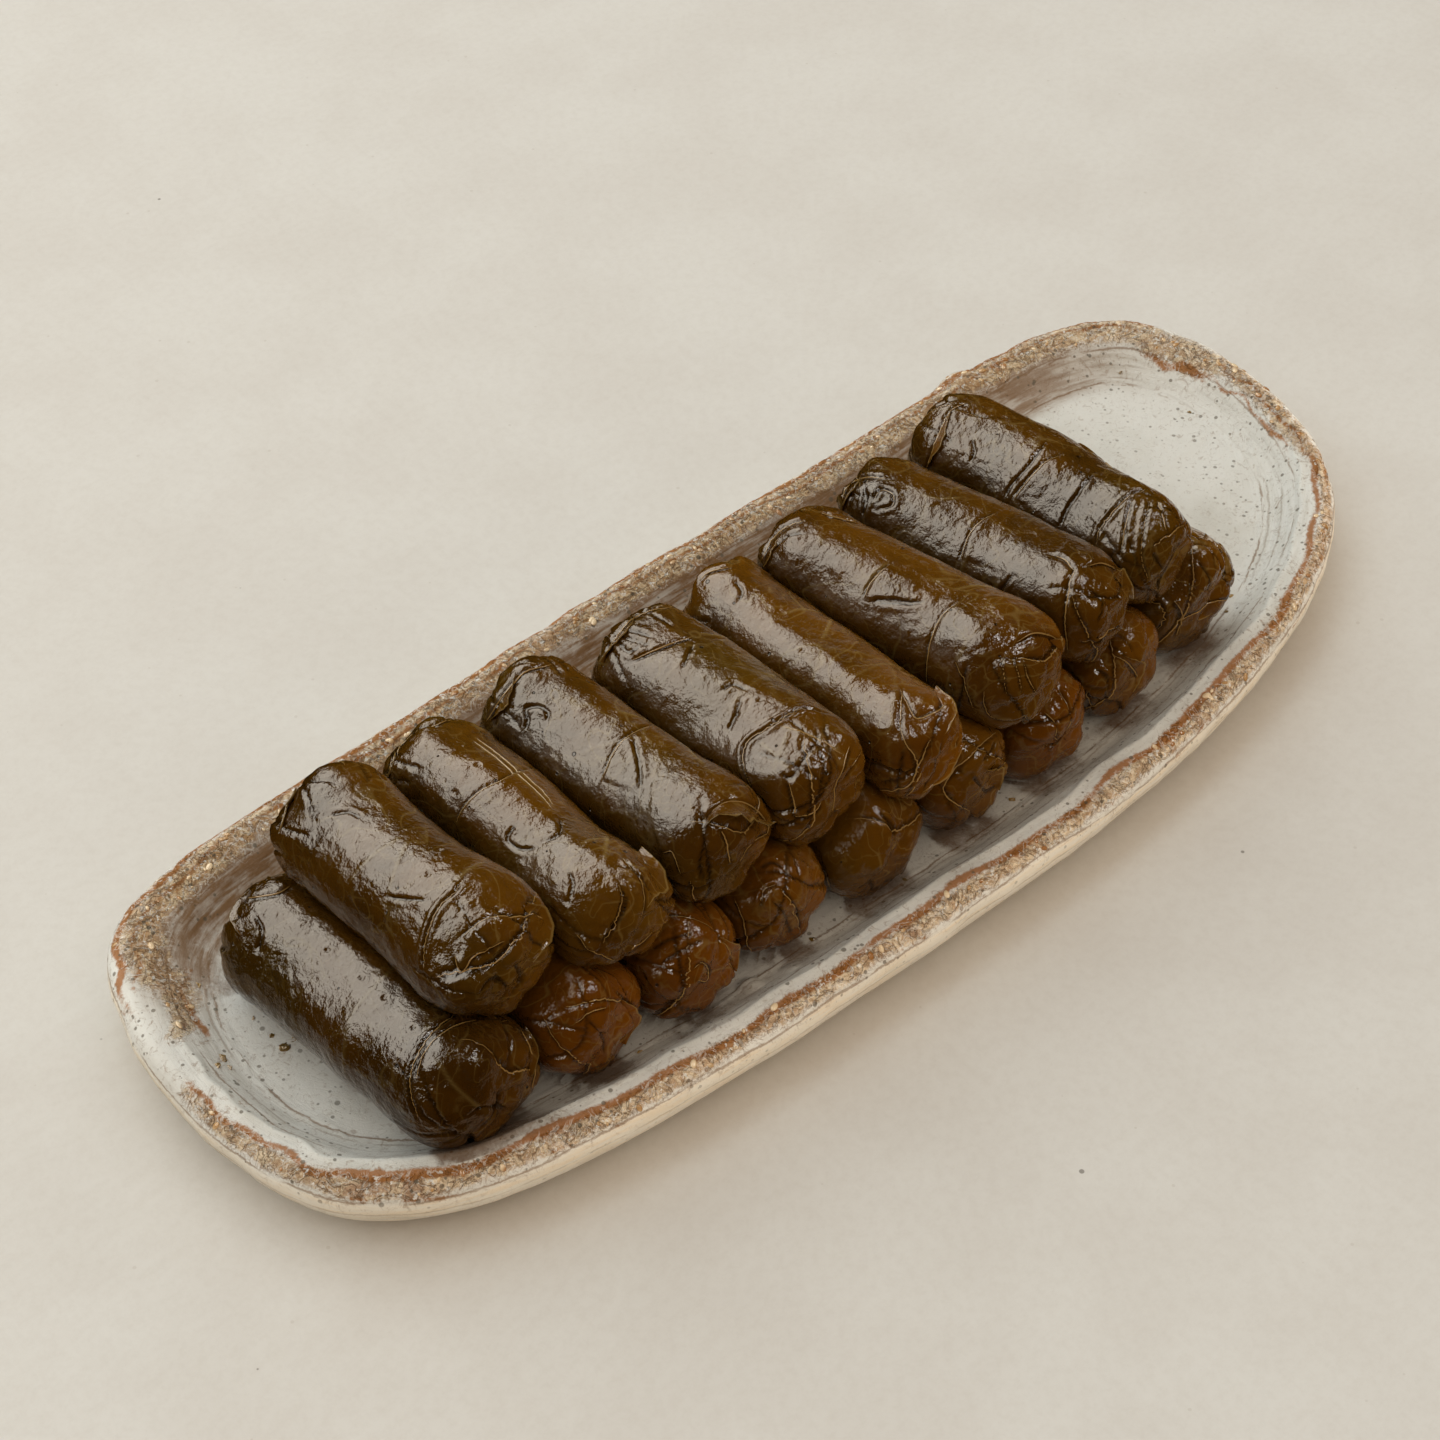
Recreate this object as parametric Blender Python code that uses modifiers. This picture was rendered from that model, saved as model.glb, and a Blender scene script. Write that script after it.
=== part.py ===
"""Dolma: stuffed vine-leaf rolls served in a long hand-formed stoneware dish.

Nine rolls lie side by side on the floor of the dish and eight more lie in the
valleys between them. X runs along the dish, the ends of the rolls that show
point to -Y, and Z is up from the surface that the dish stands on.
"""
import math
import random

import bmesh
import bpy
from mathutils import Matrix, Vector

MM = 0.001

# Dish outline: a rounded oblong with a different fullness at each corner
DISH_HALF_LENGTH = 148.5 * MM
DISH_HALF_WIDTH = 59.4 * MM
FULLNESS_BACK_LEFT = 5.2
FULLNESS_BACK_RIGHT = 4.5
FULLNESS_FRONT_LEFT = 4.6
FULLNESS_FRONT_RIGHT = 3.2
SIDE_BOW = 10.7 * MM
# Slow unevenness of the hand-formed edge: waves round the dish, height, phase
EDGE_WAVES = ((2, 2.9 * MM, -0.26), (3, 0.6 * MM, 2.45), (4, 2.4 * MM, -0.41), (5, 0.7 * MM, -1.47))

# Dish wall, from the flat foot to the rounded rim and down to the floor
DISH_HEIGHT = 16.0 * MM
DISH_FLOOR = 9.3 * MM
FOOT_INSET = 7.4 * MM
RIM_INSET = 3.9 * MM
FLOOR_INSET = 18.0 * MM
# Inner slope: inset in mm, and share of the rise from the floor to the rim
INNER_SLOPE = ((15.5, 0.06), (13.4, 0.20), (11.5, 0.42), (9.8, 0.66), (8.2, 0.85), (6.4, 0.96))
# Outer wall: inset in mm, and share of the dish's height
OUTER_WALL = ((2.0, 0.965), (0.7, 0.88), (0.0, 0.73), (0.5, 0.53), (2.3, 0.29), (4.8, 0.10))
# The rim rises and falls in three slow waves round the dish
RIM_WAVE = 0.35 * MM
RIM_WAVE_COUNT = 3
RIM_WAVE_PHASE = 0.8
DISH_STEPS = 96
INSET_HALVINGS = 14
GLAZE_COLOR = (0.62, 0.60, 0.54)
GLAZE_ROUGHNESS = 0.35

# Rolls: how far neighbours press into each other, and the gap that is left
SIDE_PRESS = 0.4 * MM
NEST_PRESS = 1.2 * MM
FLOOR_PRESS = 0.4 * MM
CONTACT_GAP = 0.3 * MM
# The slope's flat facets stand this far inside its true curve
FACET_SPARE = 0.6 * MM
FIRST_ROLL_X = -116.5 * MM
PRESS_PASSES = 6
# A roll looks for neighbours within this many times its radius
NEIGHBOUR_REACH = 3
ROLL_SIDES = 20
ROLL_RINGS = 16
POLE_SIZE = 0.001
BODY_SHARE = 0.5
# Below 1, the ends stay full before they close
END_FULLNESS = 0.75
FIRST_SEED = 40
LEAF_COLOR = (0.10, 0.065, 0.014)
LEAF_COLOR_SPREAD = (0.05, 0.015, 0.0)
LEAF_ROUGHNESS = 0.28

# Relief of the leaves
LEAF_EDGE_STEP = 1.1 * MM
LEAF_EDGE_FADE = 3.6
FOLD_RIB_HEIGHT = 0.8 * MM
FOLD_RIB_WIDTH = 2.6 * MM
RIB_CATCH = 3.4 * MM
WRINKLE_HEIGHT = 0.33 * MM
WRINKLES = 4
PLEAT_HEIGHT = 1.1 * MM
END_DIMPLE = 2.0 * MM
DIMPLE_SPREAD = 0.45

# Each roll: radius, length and the place of its middle across the dish in mm,
# its turn in degrees, how deep its ends are as a share of the radius, and the
# places of its folded ribs as shares of the half length, front end positive
FLOOR_ROLLS = (
    {"radius": 13.3, "length": 68, "across": -4.0, "turn": 4.5, "cap": 0.55, "ribs": (0.52, 0.15)},
    {"radius": 12.4, "length": 68, "across": -5.7, "turn": 4.0, "cap": 0.80, "ribs": (0.70,)},
    {"radius": 11.9, "length": 68, "across": -7.9, "turn": 1.8, "cap": 0.85, "ribs": (0.62,)},
    {"radius": 12.2, "length": 68, "across": -7.8, "turn": -0.8, "cap": 0.90, "ribs": (0.70,)},
    {"radius": 12.1, "length": 68, "across": -9.5, "turn": -0.8, "cap": 0.80, "ribs": (0.60,)},
    {"radius": 12.2, "length": 68, "across": -8.4, "turn": 2.8, "cap": 0.85, "ribs": (0.66,)},
    {"radius": 11.9, "length": 68, "across": -9.8, "turn": 1.6, "cap": 0.80, "ribs": (0.72,)},
    {"radius": 11.9, "length": 68, "across": -7.6, "turn": 0.7, "cap": 0.60, "ribs": (0.62,)},
    {"radius": 13.1, "length": 68, "across": -4.0, "turn": 2.6, "cap": 0.40, "ribs": (0.70,)},
)
TOP_ROLLS = (
    {"radius": 12.2, "length": 61, "across": -0.2, "turn": 1.3, "cap": 0.75, "ribs": (0.46, 0.62)},
    {"radius": 11.2, "length": 65, "across": -3.2, "turn": -0.5, "cap": 0.80, "ribs": (0.55,)},
    {"radius": 11.6, "length": 63, "across": -4.2, "turn": 4.4, "cap": 0.55, "ribs": (0.58,)},
    {"radius": 12.9, "length": 60, "across": -8.1, "turn": 3.4, "cap": 0.60, "ribs": (0.36, 0.66)},
    {"radius": 10.6, "length": 66, "across": -9.2, "turn": 1.3, "cap": 0.50, "ribs": (0.70,)},
    {"radius": 12.4, "length": 68, "across": -9.7, "turn": 10.8, "cap": 0.80, "ribs": (0.60,)},
    {"radius": 11.3, "length": 66, "across": -7.4, "turn": 11.7, "cap": 0.85, "ribs": (0.45, 0.72)},
    {"radius": 11.6, "length": 64, "across": -4.2, "turn": 4.9, "cap": 0.60, "ribs": (-0.10, 0.55)},
)
# Corners of leaves that stand off the ends: roll name, place along the half
# length, direction round the roll in degrees (0 right, 90 up), height in mm
LEAF_CORNERS = (
    ("dolma_floor_8", 0.72, 10, 2.6),
    ("dolma_floor_9", 0.86, 40, 2.2),
    ("dolma_floor_9", 0.84, -25, 2.0),
    ("dolma_top_1", 0.74, 20, 2.4),
    ("dolma_top_2", 0.80, 5, 1.8),
    ("dolma_top_5", 0.86, 60, 1.8),
)
CORNER_SPREAD = 4.5 * MM
CORNER_ANGLE = 0.42


def empty_scene():
    """Removes what a new Blender file holds."""
    for item in list(bpy.data.objects):
        bpy.data.objects.remove(item, do_unlink=True)


def plain_material(name, color, roughness):
    """One Principled material with the piece's colour and gloss."""
    material = bpy.data.materials.new(name)
    material.use_nodes = True
    shader = material.node_tree.nodes["Principled BSDF"]
    shader.inputs["Base Color"].default_value = (*color, 1.0)
    shader.inputs["Roughness"].default_value = roughness
    shader.inputs["Metallic"].default_value = 0.0
    return material


def add_object(name, mesh, material, collection):
    """Adds a mesh as a named, smoothly shaded object."""
    piece = bpy.data.objects.new(name, mesh)
    mesh.materials.clear()
    mesh.materials.append(material)
    mesh.shade_smooth()
    mesh.set_sharp_from_angle(angle=math.radians(50))
    collection.objects.link(piece)
    return piece


def edge_wave(angle):
    """How far the uneven edge stands out at a direction round the dish."""
    return sum(height * math.cos(count * angle + phase) for count, height, phase in EDGE_WAVES)


def outline_point(angle, inset):
    """A point of the dish's outline, moved inwards by inset, before it is bowed."""
    c = math.cos(angle)
    s = math.sin(angle)
    if s > 0:
        fullness = FULLNESS_BACK_RIGHT if c > 0 else FULLNESS_BACK_LEFT
    else:
        fullness = FULLNESS_FRONT_RIGHT if c > 0 else FULLNESS_FRONT_LEFT
    reach = (abs(c) ** fullness + abs(s) ** fullness) ** (-1 / fullness)
    move = edge_wave(angle) - inset
    return (DISH_HALF_LENGTH + move) * reach * c, (DISH_HALF_WIDTH + move) * reach * s


def bow(x, y):
    """Bends the long middle line of the dish towards the back at both ends."""
    return x, y + SIDE_BOW * (x / DISH_HALF_LENGTH) ** 2


def dish_profile():
    """Half section of the dish: floor, inner slope, rim, outer wall and foot."""
    points = [(FLOOR_INSET, DISH_FLOOR)]
    for inset, rise in INNER_SLOPE:
        points.append((inset * MM, DISH_FLOOR + rise * (DISH_HEIGHT - DISH_FLOOR)))
    points.append((RIM_INSET, DISH_HEIGHT))
    for inset, rise in OUTER_WALL:
        points.append((inset * MM, rise * DISH_HEIGHT))
    points.append((FOOT_INSET, 0.0))
    return points


def inside_height(x, y):
    """Height of the dish's inner surface below a point, found by halving the inset."""
    y -= SIDE_BOW * (x / DISH_HALF_LENGTH) ** 2
    low = RIM_INSET
    high = FLOOR_INSET
    for _ in range(INSET_HALVINGS):
        inset = (low + high) / 2
        angle = math.atan2(y / (DISH_HALF_WIDTH - inset), x / (DISH_HALF_LENGTH - inset))
        if math.hypot(x, y) < math.hypot(*outline_point(angle, inset)):
            low = inset
        else:
            high = inset
    inner = [point for point in dish_profile() if point[0] >= RIM_INSET and point[1] >= DISH_FLOOR]
    for (outer_inset, lower), (inner_inset, upper) in zip(inner, inner[1:]):
        if inner_inset <= inset <= outer_inset:
            share = (outer_inset - inset) / (outer_inset - inner_inset)
            height = lower + share * (upper - lower)
            return height + FACET_SPARE * min(1.0, (height - DISH_FLOOR) / MM)
    return DISH_FLOOR


def make_dish(collection):
    """Turns the section round, then moves the round form to the hand-formed outline."""
    radius = DISH_HALF_WIDTH
    section = [(0.0, DISH_FLOOR)]
    section += [(radius - inset, height) for inset, height in dish_profile()]
    section.append((0.0, 0.0))
    line = bpy.data.meshes.new("dish_section")
    edges = [(i, i + 1) for i in range(len(section) - 1)]
    line.from_pydata([(x, 0.0, z) for x, z in section], edges, [])
    turned = bpy.data.objects.new("dish_section", line)
    collection.objects.link(turned)
    screw = turned.modifiers.new("turn", "SCREW")
    screw.axis = "Z"
    screw.steps = DISH_STEPS
    screw.render_steps = DISH_STEPS
    screw.use_merge_vertices = True
    screw.merge_threshold = 0.00005
    view = bpy.context.evaluated_depsgraph_get()
    mesh = bpy.data.meshes.new_from_object(turned.evaluated_get(view))
    mesh.name = "dish"
    bpy.data.objects.remove(turned, do_unlink=True)
    floor_radius = radius - FLOOR_INSET
    for vertex in mesh.vertices:
        x, y, z = vertex.co
        spread = math.hypot(x, y)
        angle = math.atan2(y, x)
        if spread >= floor_radius:
            x, y = outline_point(angle, radius - spread)
        else:
            x, y = outline_point(angle, FLOOR_INSET)
            x *= spread / floor_radius
            y *= spread / floor_radius
        x, y = bow(x, y)
        on_rim = max(0.0, (z - DISH_FLOOR) / (DISH_HEIGHT - DISH_FLOOR))
        z += on_rim * RIM_WAVE * math.sin(RIM_WAVE_COUNT * angle + RIM_WAVE_PHASE)
        vertex.co = (x, y, z)
    material = plain_material("glazed_stoneware", GLAZE_COLOR, GLAZE_ROUGHNESS)
    return add_object("dish", mesh, material, collection)


def roll_layout():
    """Places every roll: the floor layer side by side, the top layer in its valleys."""
    placed = []
    x = FIRST_ROLL_X
    for index, roll in enumerate(FLOOR_ROLLS):
        radius = roll["radius"] * MM
        if index:
            x += FLOOR_ROLLS[index - 1]["radius"] * MM + radius - SIDE_PRESS
        centre = Vector((x, roll["across"] * MM, DISH_FLOOR + radius - FLOOR_PRESS))
        placed.append({"name": f"dolma_floor_{index + 1}", "centre": centre, **roll})
    floor_layer = list(placed)
    for index, roll in enumerate(TOP_ROLLS):
        left, right = floor_layer[index], floor_layer[index + 1]
        half_gap = (right["centre"].x - left["centre"].x) / 2
        below = (left["radius"] + right["radius"]) / 2 * MM
        reach = roll["radius"] * MM + below - NEST_PRESS
        rise = math.sqrt(reach ** 2 - half_gap ** 2)
        middle = (left["centre"] + right["centre"]) / 2
        centre = Vector((middle.x, roll["across"] * MM, middle.z + rise))
        placed.append({"name": f"dolma_top_{index + 1}", "centre": centre, **roll})
    for roll in placed:
        roll["radius"] *= MM
        roll["length"] *= MM
        roll["turn"] = math.radians(roll["turn"])
        roll["heading"] = Vector((math.sin(roll["turn"]), -math.cos(roll["turn"]), 0.0))
    return placed


def leaf_relief(roll, habit, along, around, end_share):
    """Height of the leaf's edge, ribs, wrinkles and corners above the plain roll."""
    half = roll["length"] / 2
    lean = habit["edge_lean"] * along / half
    past_edge = (around - habit["edge_angle"] - lean) % math.tau
    height = LEAF_EDGE_STEP * max(0.0, 1 - past_edge / LEAF_EDGE_FADE) * (1 - end_share)
    for place in roll["ribs"]:
        tilt = place * half + habit["rib_tilt"] * math.cos(around - habit["edge_angle"])
        height += FOLD_RIB_HEIGHT * math.exp(-((along - tilt) / FOLD_RIB_WIDTH) ** 2)
    for round_count, along_count, phase in habit["wrinkles"]:
        height += WRINKLE_HEIGHT * math.sin(round_count * around + along_count * along / half + phase)
    pleat = math.cos(habit["pleats"] * around + habit["pleat_phase"])
    height += PLEAT_HEIGHT * pleat * math.sin(math.pi * min(1.0, end_share))
    for name, place, direction, stand_off in LEAF_CORNERS:
        if name == roll["name"]:
            turn = (around - math.radians(direction) + math.pi) % math.tau - math.pi
            near = ((along - place * half) / CORNER_SPREAD) ** 2 + (turn / CORNER_ANGLE) ** 2
            height += stand_off * MM * math.exp(-near)
    return height


def wrinkle(draw):
    """One slack wave of a leaf: waves round the roll, turns along it and phase."""
    return draw.randint(1, 4), draw.uniform(1.5, 5.0), draw.uniform(0, math.tau)


def roll_habit(draw):
    """How one leaf happens to be wrapped, from the roll's own random numbers."""
    return {
        "edge_angle": draw.uniform(0.3, 2.6),
        "edge_lean": draw.uniform(-0.5, 0.5),
        "rib_tilt": draw.uniform(-2.0, 2.0) * MM,
        "wrinkles": [wrinkle(draw) for _ in range(WRINKLES)],
        "pleats": draw.randint(4, 6),
        "pleat_phase": draw.uniform(0, math.tau),
        "taper": draw.uniform(-0.03, 0.05),
        "sway": draw.uniform(-1.0, 1.0) * MM,
    }


def shape_roll(shell, roll, habit):
    """Moves a sphere's vertices to the leaf-wrapped roll, front end towards -Y."""
    half = roll["length"] / 2
    radius = roll["radius"]
    cap = roll["cap"] * radius
    for vertex in shell.verts:
        latitude = math.asin(max(-1.0, min(1.0, vertex.co.z))) / (math.pi / 2)
        around = math.atan2(vertex.co.y, vertex.co.x)
        end = math.copysign(1.0, latitude)
        end_share = max(0.0, (abs(latitude) - BODY_SHARE) / (1 - BODY_SHARE))
        if end_share > 0:
            turn = end_share * math.pi / 2
            along = end * (half - cap + cap * math.sin(turn))
            girth = radius * max(0.0, math.cos(turn)) ** END_FULLNESS
        else:
            along = latitude / BODY_SHARE * (half - cap)
            girth = radius
            for place in roll["ribs"]:
                if abs(along - place * half) < RIB_CATCH:
                    along = place * half
        girth *= 1 + habit["taper"] * along / half
        if math.hypot(vertex.co.x, vertex.co.y) > POLE_SIZE:
            girth += leaf_relief(roll, habit, along, around, end_share)
        else:
            girth = 0.0
        along -= end * END_DIMPLE * math.exp(-(girth / (DIMPLE_SPREAD * radius)) ** 2)
        side = girth * math.cos(around) + habit["sway"] * (along / half) ** 2
        vertex.co = (side, -along, girth * math.sin(around))


def press_apart(point, roll, others):
    """Keeps a point of a roll on its own side of where it meets each neighbour."""
    for other in others:
        heading = (roll["heading"] + other["heading"]).normalized()
        apart = other["centre"] - roll["centre"]
        apart -= apart.dot(heading) * heading
        distance = apart.length
        apart.normalize()
        limit = roll["radius"] + (distance - roll["radius"] - other["radius"]) / 2 - CONTACT_GAP / 2
        beyond = (point - roll["centre"]).dot(apart) - limit
        if beyond > 0:
            point -= beyond * apart
    return point


def make_roll(roll, rolls, index, collection):
    """One uncut roll, flattened where it lies on the dish or against its neighbours."""
    draw = random.Random(FIRST_SEED + index)
    habit = roll_habit(draw)
    shell = bmesh.new()
    bmesh.ops.create_uvsphere(shell, u_segments=ROLL_SIDES, v_segments=ROLL_RINGS, radius=1.0)
    shape_roll(shell, roll, habit)
    place = Matrix.Translation(roll["centre"]) @ Matrix.Rotation(roll["turn"], 4, "Z")
    reach = NEIGHBOUR_REACH * roll["radius"]
    others = [
        other for other in rolls
        if other is not roll and (other["centre"] - roll["centre"]).length < reach
    ]
    for vertex in shell.verts:
        point = place @ vertex.co
        for _ in range(PRESS_PASSES):
            point = press_apart(point, roll, others)
            point.z = max(point.z, inside_height(point.x, point.y) + CONTACT_GAP)
        vertex.co = place.inverted() @ point
    mesh = bpy.data.meshes.new(roll["name"])
    shell.to_mesh(mesh)
    shell.free()
    amber = draw.uniform(0.0, 1.0)
    color = [base + amber * extra for base, extra in zip(LEAF_COLOR, LEAF_COLOR_SPREAD)]
    material = plain_material(roll["name"] + "_leaf", color, LEAF_ROUGHNESS)
    piece = add_object(roll["name"], mesh, material, collection)
    piece.location = roll["centre"]
    piece.rotation_euler = (0.0, 0.0, roll["turn"])
    return piece


def build():
    """Makes the dish and the rolls and centres them on the dish."""
    empty_scene()
    collection = bpy.data.collections.new("dolma")
    bpy.context.scene.collection.children.link(collection)
    dish = make_dish(collection)
    rolls = roll_layout()
    pieces = [make_roll(roll, rolls, index, collection) for index, roll in enumerate(rolls)]
    xs = [vertex.co.x for vertex in dish.data.vertices]
    ys = [vertex.co.y for vertex in dish.data.vertices]
    middle = Vector(((min(xs) + max(xs)) / 2, (min(ys) + max(ys)) / 2, 0.0))
    for piece in [dish, *pieces]:
        piece.location -= middle


build()
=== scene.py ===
import math
import random

import bpy
import numpy as np
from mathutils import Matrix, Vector
from mathutils.bvhtree import BVHTree


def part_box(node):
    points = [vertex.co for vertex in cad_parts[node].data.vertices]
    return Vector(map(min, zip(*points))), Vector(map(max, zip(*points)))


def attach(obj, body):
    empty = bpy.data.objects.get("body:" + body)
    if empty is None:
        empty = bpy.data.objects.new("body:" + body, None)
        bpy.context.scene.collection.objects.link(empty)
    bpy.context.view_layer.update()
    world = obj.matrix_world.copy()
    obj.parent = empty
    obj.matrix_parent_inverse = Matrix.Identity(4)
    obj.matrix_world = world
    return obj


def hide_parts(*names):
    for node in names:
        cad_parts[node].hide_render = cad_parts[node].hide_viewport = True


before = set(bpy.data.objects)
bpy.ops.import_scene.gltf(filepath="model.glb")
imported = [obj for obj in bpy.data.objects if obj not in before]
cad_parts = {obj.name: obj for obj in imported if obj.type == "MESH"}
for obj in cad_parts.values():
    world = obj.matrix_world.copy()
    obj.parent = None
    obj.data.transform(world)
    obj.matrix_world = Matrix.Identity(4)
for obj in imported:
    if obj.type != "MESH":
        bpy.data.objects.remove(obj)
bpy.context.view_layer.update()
MM = 0.001

# The view. A long lens looks down on the dish from its front left corner, as
# a cook would stand over it; distances in the picture are in its own pixels.
PICTURE_SIDE = 1440
FOCAL_PIXELS = 2900
SENSOR_WIDTH = 36.0
VIEW_AZIMUTH = math.radians(-42.444)
VIEW_ELEVATION = math.radians(46.0)
VIEW_DISTANCE = 620.12 * MM
VIEW_TARGET = Vector((-5.14, 22.24, 0.0)) * MM
CLIP_START = 10 * MM


def stand(name, data, place=None, turn=None):
    """Puts an object in the scene, moved and turned where it is a camera or a lamp."""
    thing = bpy.data.objects.new(name, data)
    bpy.context.scene.collection.objects.link(thing)
    if turn is not None:
        thing.location = place
        thing.rotation_mode = "QUATERNION"
        thing.rotation_quaternion = turn
    return thing


def picture_ray(across, down):
    """Direction in which the camera sees one place of the picture."""
    half = PICTURE_SIDE / 2
    ray = Vector(((across - half) / FOCAL_PIXELS, (half - down) / FOCAL_PIXELS, -1.0))
    return (camera.rotation_quaternion @ ray).normalized()


towards_camera = Vector((
    math.sin(VIEW_AZIMUTH) * math.cos(VIEW_ELEVATION),
    -math.cos(VIEW_AZIMUTH) * math.cos(VIEW_ELEVATION),
    math.sin(VIEW_ELEVATION),
))
lens = bpy.data.cameras.new("camera")
lens.sensor_width = SENSOR_WIDTH
lens.lens = FOCAL_PIXELS / PICTURE_SIDE * SENSOR_WIDTH
lens.clip_start = CLIP_START
viewpoint = VIEW_TARGET + VIEW_DISTANCE * towards_camera
camera = stand("camera", lens, viewpoint, (-towards_camera).to_track_quat("-Z", "Y"))
bpy.context.scene.camera = camera
bpy.context.scene.view_settings.view_transform = "Standard"


# The light. One wide soft window high behind the dish and a little to its
# left: its cool even light, and the warm shine that it leaves on wet leaves.
# A small lamp in front leaves glints on folded ends. The pale walls of the
# room light the rest from all round, a little warmer.
WINDOWS = (
    # name, where it stands, its size, its power, its colour
    ("window", (-0.05, 0.62, 0.78), (8.1, 3.5), 80.0, (0.60, 0.96, 1.24)),
    ("window_shine", (-0.31, 0.55, 0.78), (5.7, 3.2), 470.0, (1.0, 0.935, 0.81)),
    ("lamp_shine", (0.35, -0.45, 0.82), (1.0, 0.55), 48.0, (1.0, 0.97, 0.92)),
)
WINDOW_DISTANCE = 3.2
ROOM_COLOR = (0.925, 0.80, 0.68, 1.0)

for name, towards, size, power, color in WINDOWS:
    lamp = bpy.data.lights.new(name, "AREA")
    lamp.shape = "RECTANGLE"
    lamp.size, lamp.size_y = size
    lamp.energy = power
    lamp.color = color
    towards = Vector(towards).normalized()
    fitting = stand(name, lamp, towards * WINDOW_DISTANCE, towards.to_track_quat("Z", "Y"))
    fitting.visible_camera = False
    fitting.visible_glossy = name != "window"
    fitting.visible_diffuse = name == "window"
room = bpy.data.worlds.new("room")
room.use_nodes = True
room.node_tree.nodes["Background"].inputs["Color"].default_value = ROOM_COLOR
room.cycles_visibility.glossy = False
bpy.context.scene.world = room


# The table top: pale paper laid flat under the dish, faintly mottled, with a
# few dark flecks in it.
PAPER_HALF = 4.0
PAPER_COLOR = (0.560, 0.532, 0.478)
PAPER_SHADE = (0.535, 0.502, 0.447)
FIBRE_COLOR = (0.36, 0.30, 0.235)
FLECK_COLOR = (0.13, 0.11, 0.085)


def set_inputs(tree, node, inputs):
    """Gives a node's inputs, by name or number, a value or the result of another node."""
    for key, value in inputs.items():
        if isinstance(value, bpy.types.NodeSocket):
            tree.links.new(value, node.inputs[key])
        else:
            node.inputs[key].default_value = value


def add_node(tree, kind, inputs=None, **choices):
    """Adds a node to a tree, with its choices and inputs, and returns its outputs."""
    node = tree.nodes.new(kind)
    for name, value in choices.items():
        setattr(node, name, value)
    set_inputs(tree, node, inputs or {})
    return node.outputs


def work_out(tree, operation, *values):
    """One step of arithmetic in a node tree."""
    return add_node(tree, "ShaderNodeMath", dict(enumerate(values)), operation=operation)[0]


def times(tree, *values):
    """The product of several values."""
    product = values[0]
    for value in values[1:]:
        product = work_out(tree, "MULTIPLY", product, value)
    return product


def spread(tree, value, low, high, to_low=0.0, to_high=1.0, soft=True):
    """Maps a value from one span to another, held at both ends."""
    sockets = {"Value": value, "From Min": low, "From Max": high, "To Min": to_low, "To Max": to_high}
    kind = "SMOOTHSTEP" if soft else "LINEAR"
    return add_node(tree, "ShaderNodeMapRange", sockets, interpolation_type=kind)[0]


def noise(tree, place, scale, detail=3.0, roughness=0.5, distortion=0.0, output=0, **choices):
    """Soft random mottling between 0 and 1, at a number of lumps a metre."""
    sockets = {"Vector": place, "Scale": scale, "Detail": detail, "Roughness": roughness}
    sockets["Distortion"] = distortion
    return add_node(tree, "ShaderNodeTexNoise", sockets, **choices)[output]


def blend(tree, share, below, above):
    """Mixes two colours; a share of 1 gives the second."""
    sockets = {0: share, 6: below, 7: above}
    sockets = {key: (*value, 1.0) if isinstance(value, tuple) else value for key, value in sockets.items()}
    return add_node(tree, "ShaderNodeMix", sockets, data_type="RGBA")[2]


def coat(tree, color, paint, *shares):
    """Lays a paint over a colour, as thickly as the product of its shares."""
    return blend(tree, times(tree, *shares), color, paint)


def bump(tree, height, distance, strength=1.0, under=None):
    """Bumps a surface by a height map; distance is the real height in metres."""
    sockets = {"Height": height, "Distance": distance, "Strength": strength}
    if under is not None:
        sockets["Normal"] = under
    return add_node(tree, "ShaderNodeBump", sockets)[0]


def specks(tree, place, scale, share, smallest, largest):
    """Round dots in some cells of a random net: how many cells have one, and their sizes in cells."""
    dots = add_node(tree, "ShaderNodeTexVoronoi", {"Vector": place, "Scale": scale, "Randomness": 1.0})
    chosen = add_node(tree, "ShaderNodeSeparateColor", {0: dots["Color"]})[0]
    size = spread(tree, chosen, 1.0 - share, 1.0, smallest, largest, soft=False)
    size = times(tree, size, work_out(tree, "GREATER_THAN", chosen, 1.0 - share))
    return spread(tree, work_out(tree, "SUBTRACT", size, dots["Distance"]), 0.0, 0.3 * largest)


def new_material(name):
    """A bare material: it, its tree, its Principled shader, and the places on the piece it is for."""
    material = bpy.data.materials.new(name)
    material.use_nodes = True
    tree = material.node_tree
    return material, tree, tree.nodes["Principled BSDF"], add_node(tree, "ShaderNodeTexCoord")["Object"]


paper, tree, shader, place = new_material("paper")
mottle = noise(tree, place, 26.0, 5.0, 0.6)
grain = noise(tree, place, 420.0, 5.0, 0.75)
color = blend(tree, spread(tree, mottle, 0.35, 0.65), PAPER_COLOR, PAPER_SHADE)
color = coat(tree, color, FIBRE_COLOR, spread(tree, grain, 0.35, 0.75, 0.0, 0.16))
color = coat(tree, color, FIBRE_COLOR, specks(tree, place, 210.0, 0.16, 0.04, 0.11), 0.30)
color = coat(tree, color, FLECK_COLOR, specks(tree, place, 60.0, 0.50, 0.012, 0.040), 0.80)
paper_bump = bump(tree, noise(tree, place, 300.0, 4.0), 0.15 * MM, 0.5)
set_inputs(tree, shader, {"Base Color": color, "Roughness": 0.75, "Normal": paper_bump})

sheet = bpy.data.meshes.new("table_top")
corners = [(x * PAPER_HALF, y * PAPER_HALF, 0.0) for x, y in ((-1, -1), (1, -1), (1, 1), (-1, 1))]
sheet.from_pydata(corners, [], [(0, 1, 2, 3)])
sheet.materials.append(paper)
table_top = stand("table_top", sheet)
table_top.visible_glossy = False


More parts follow.
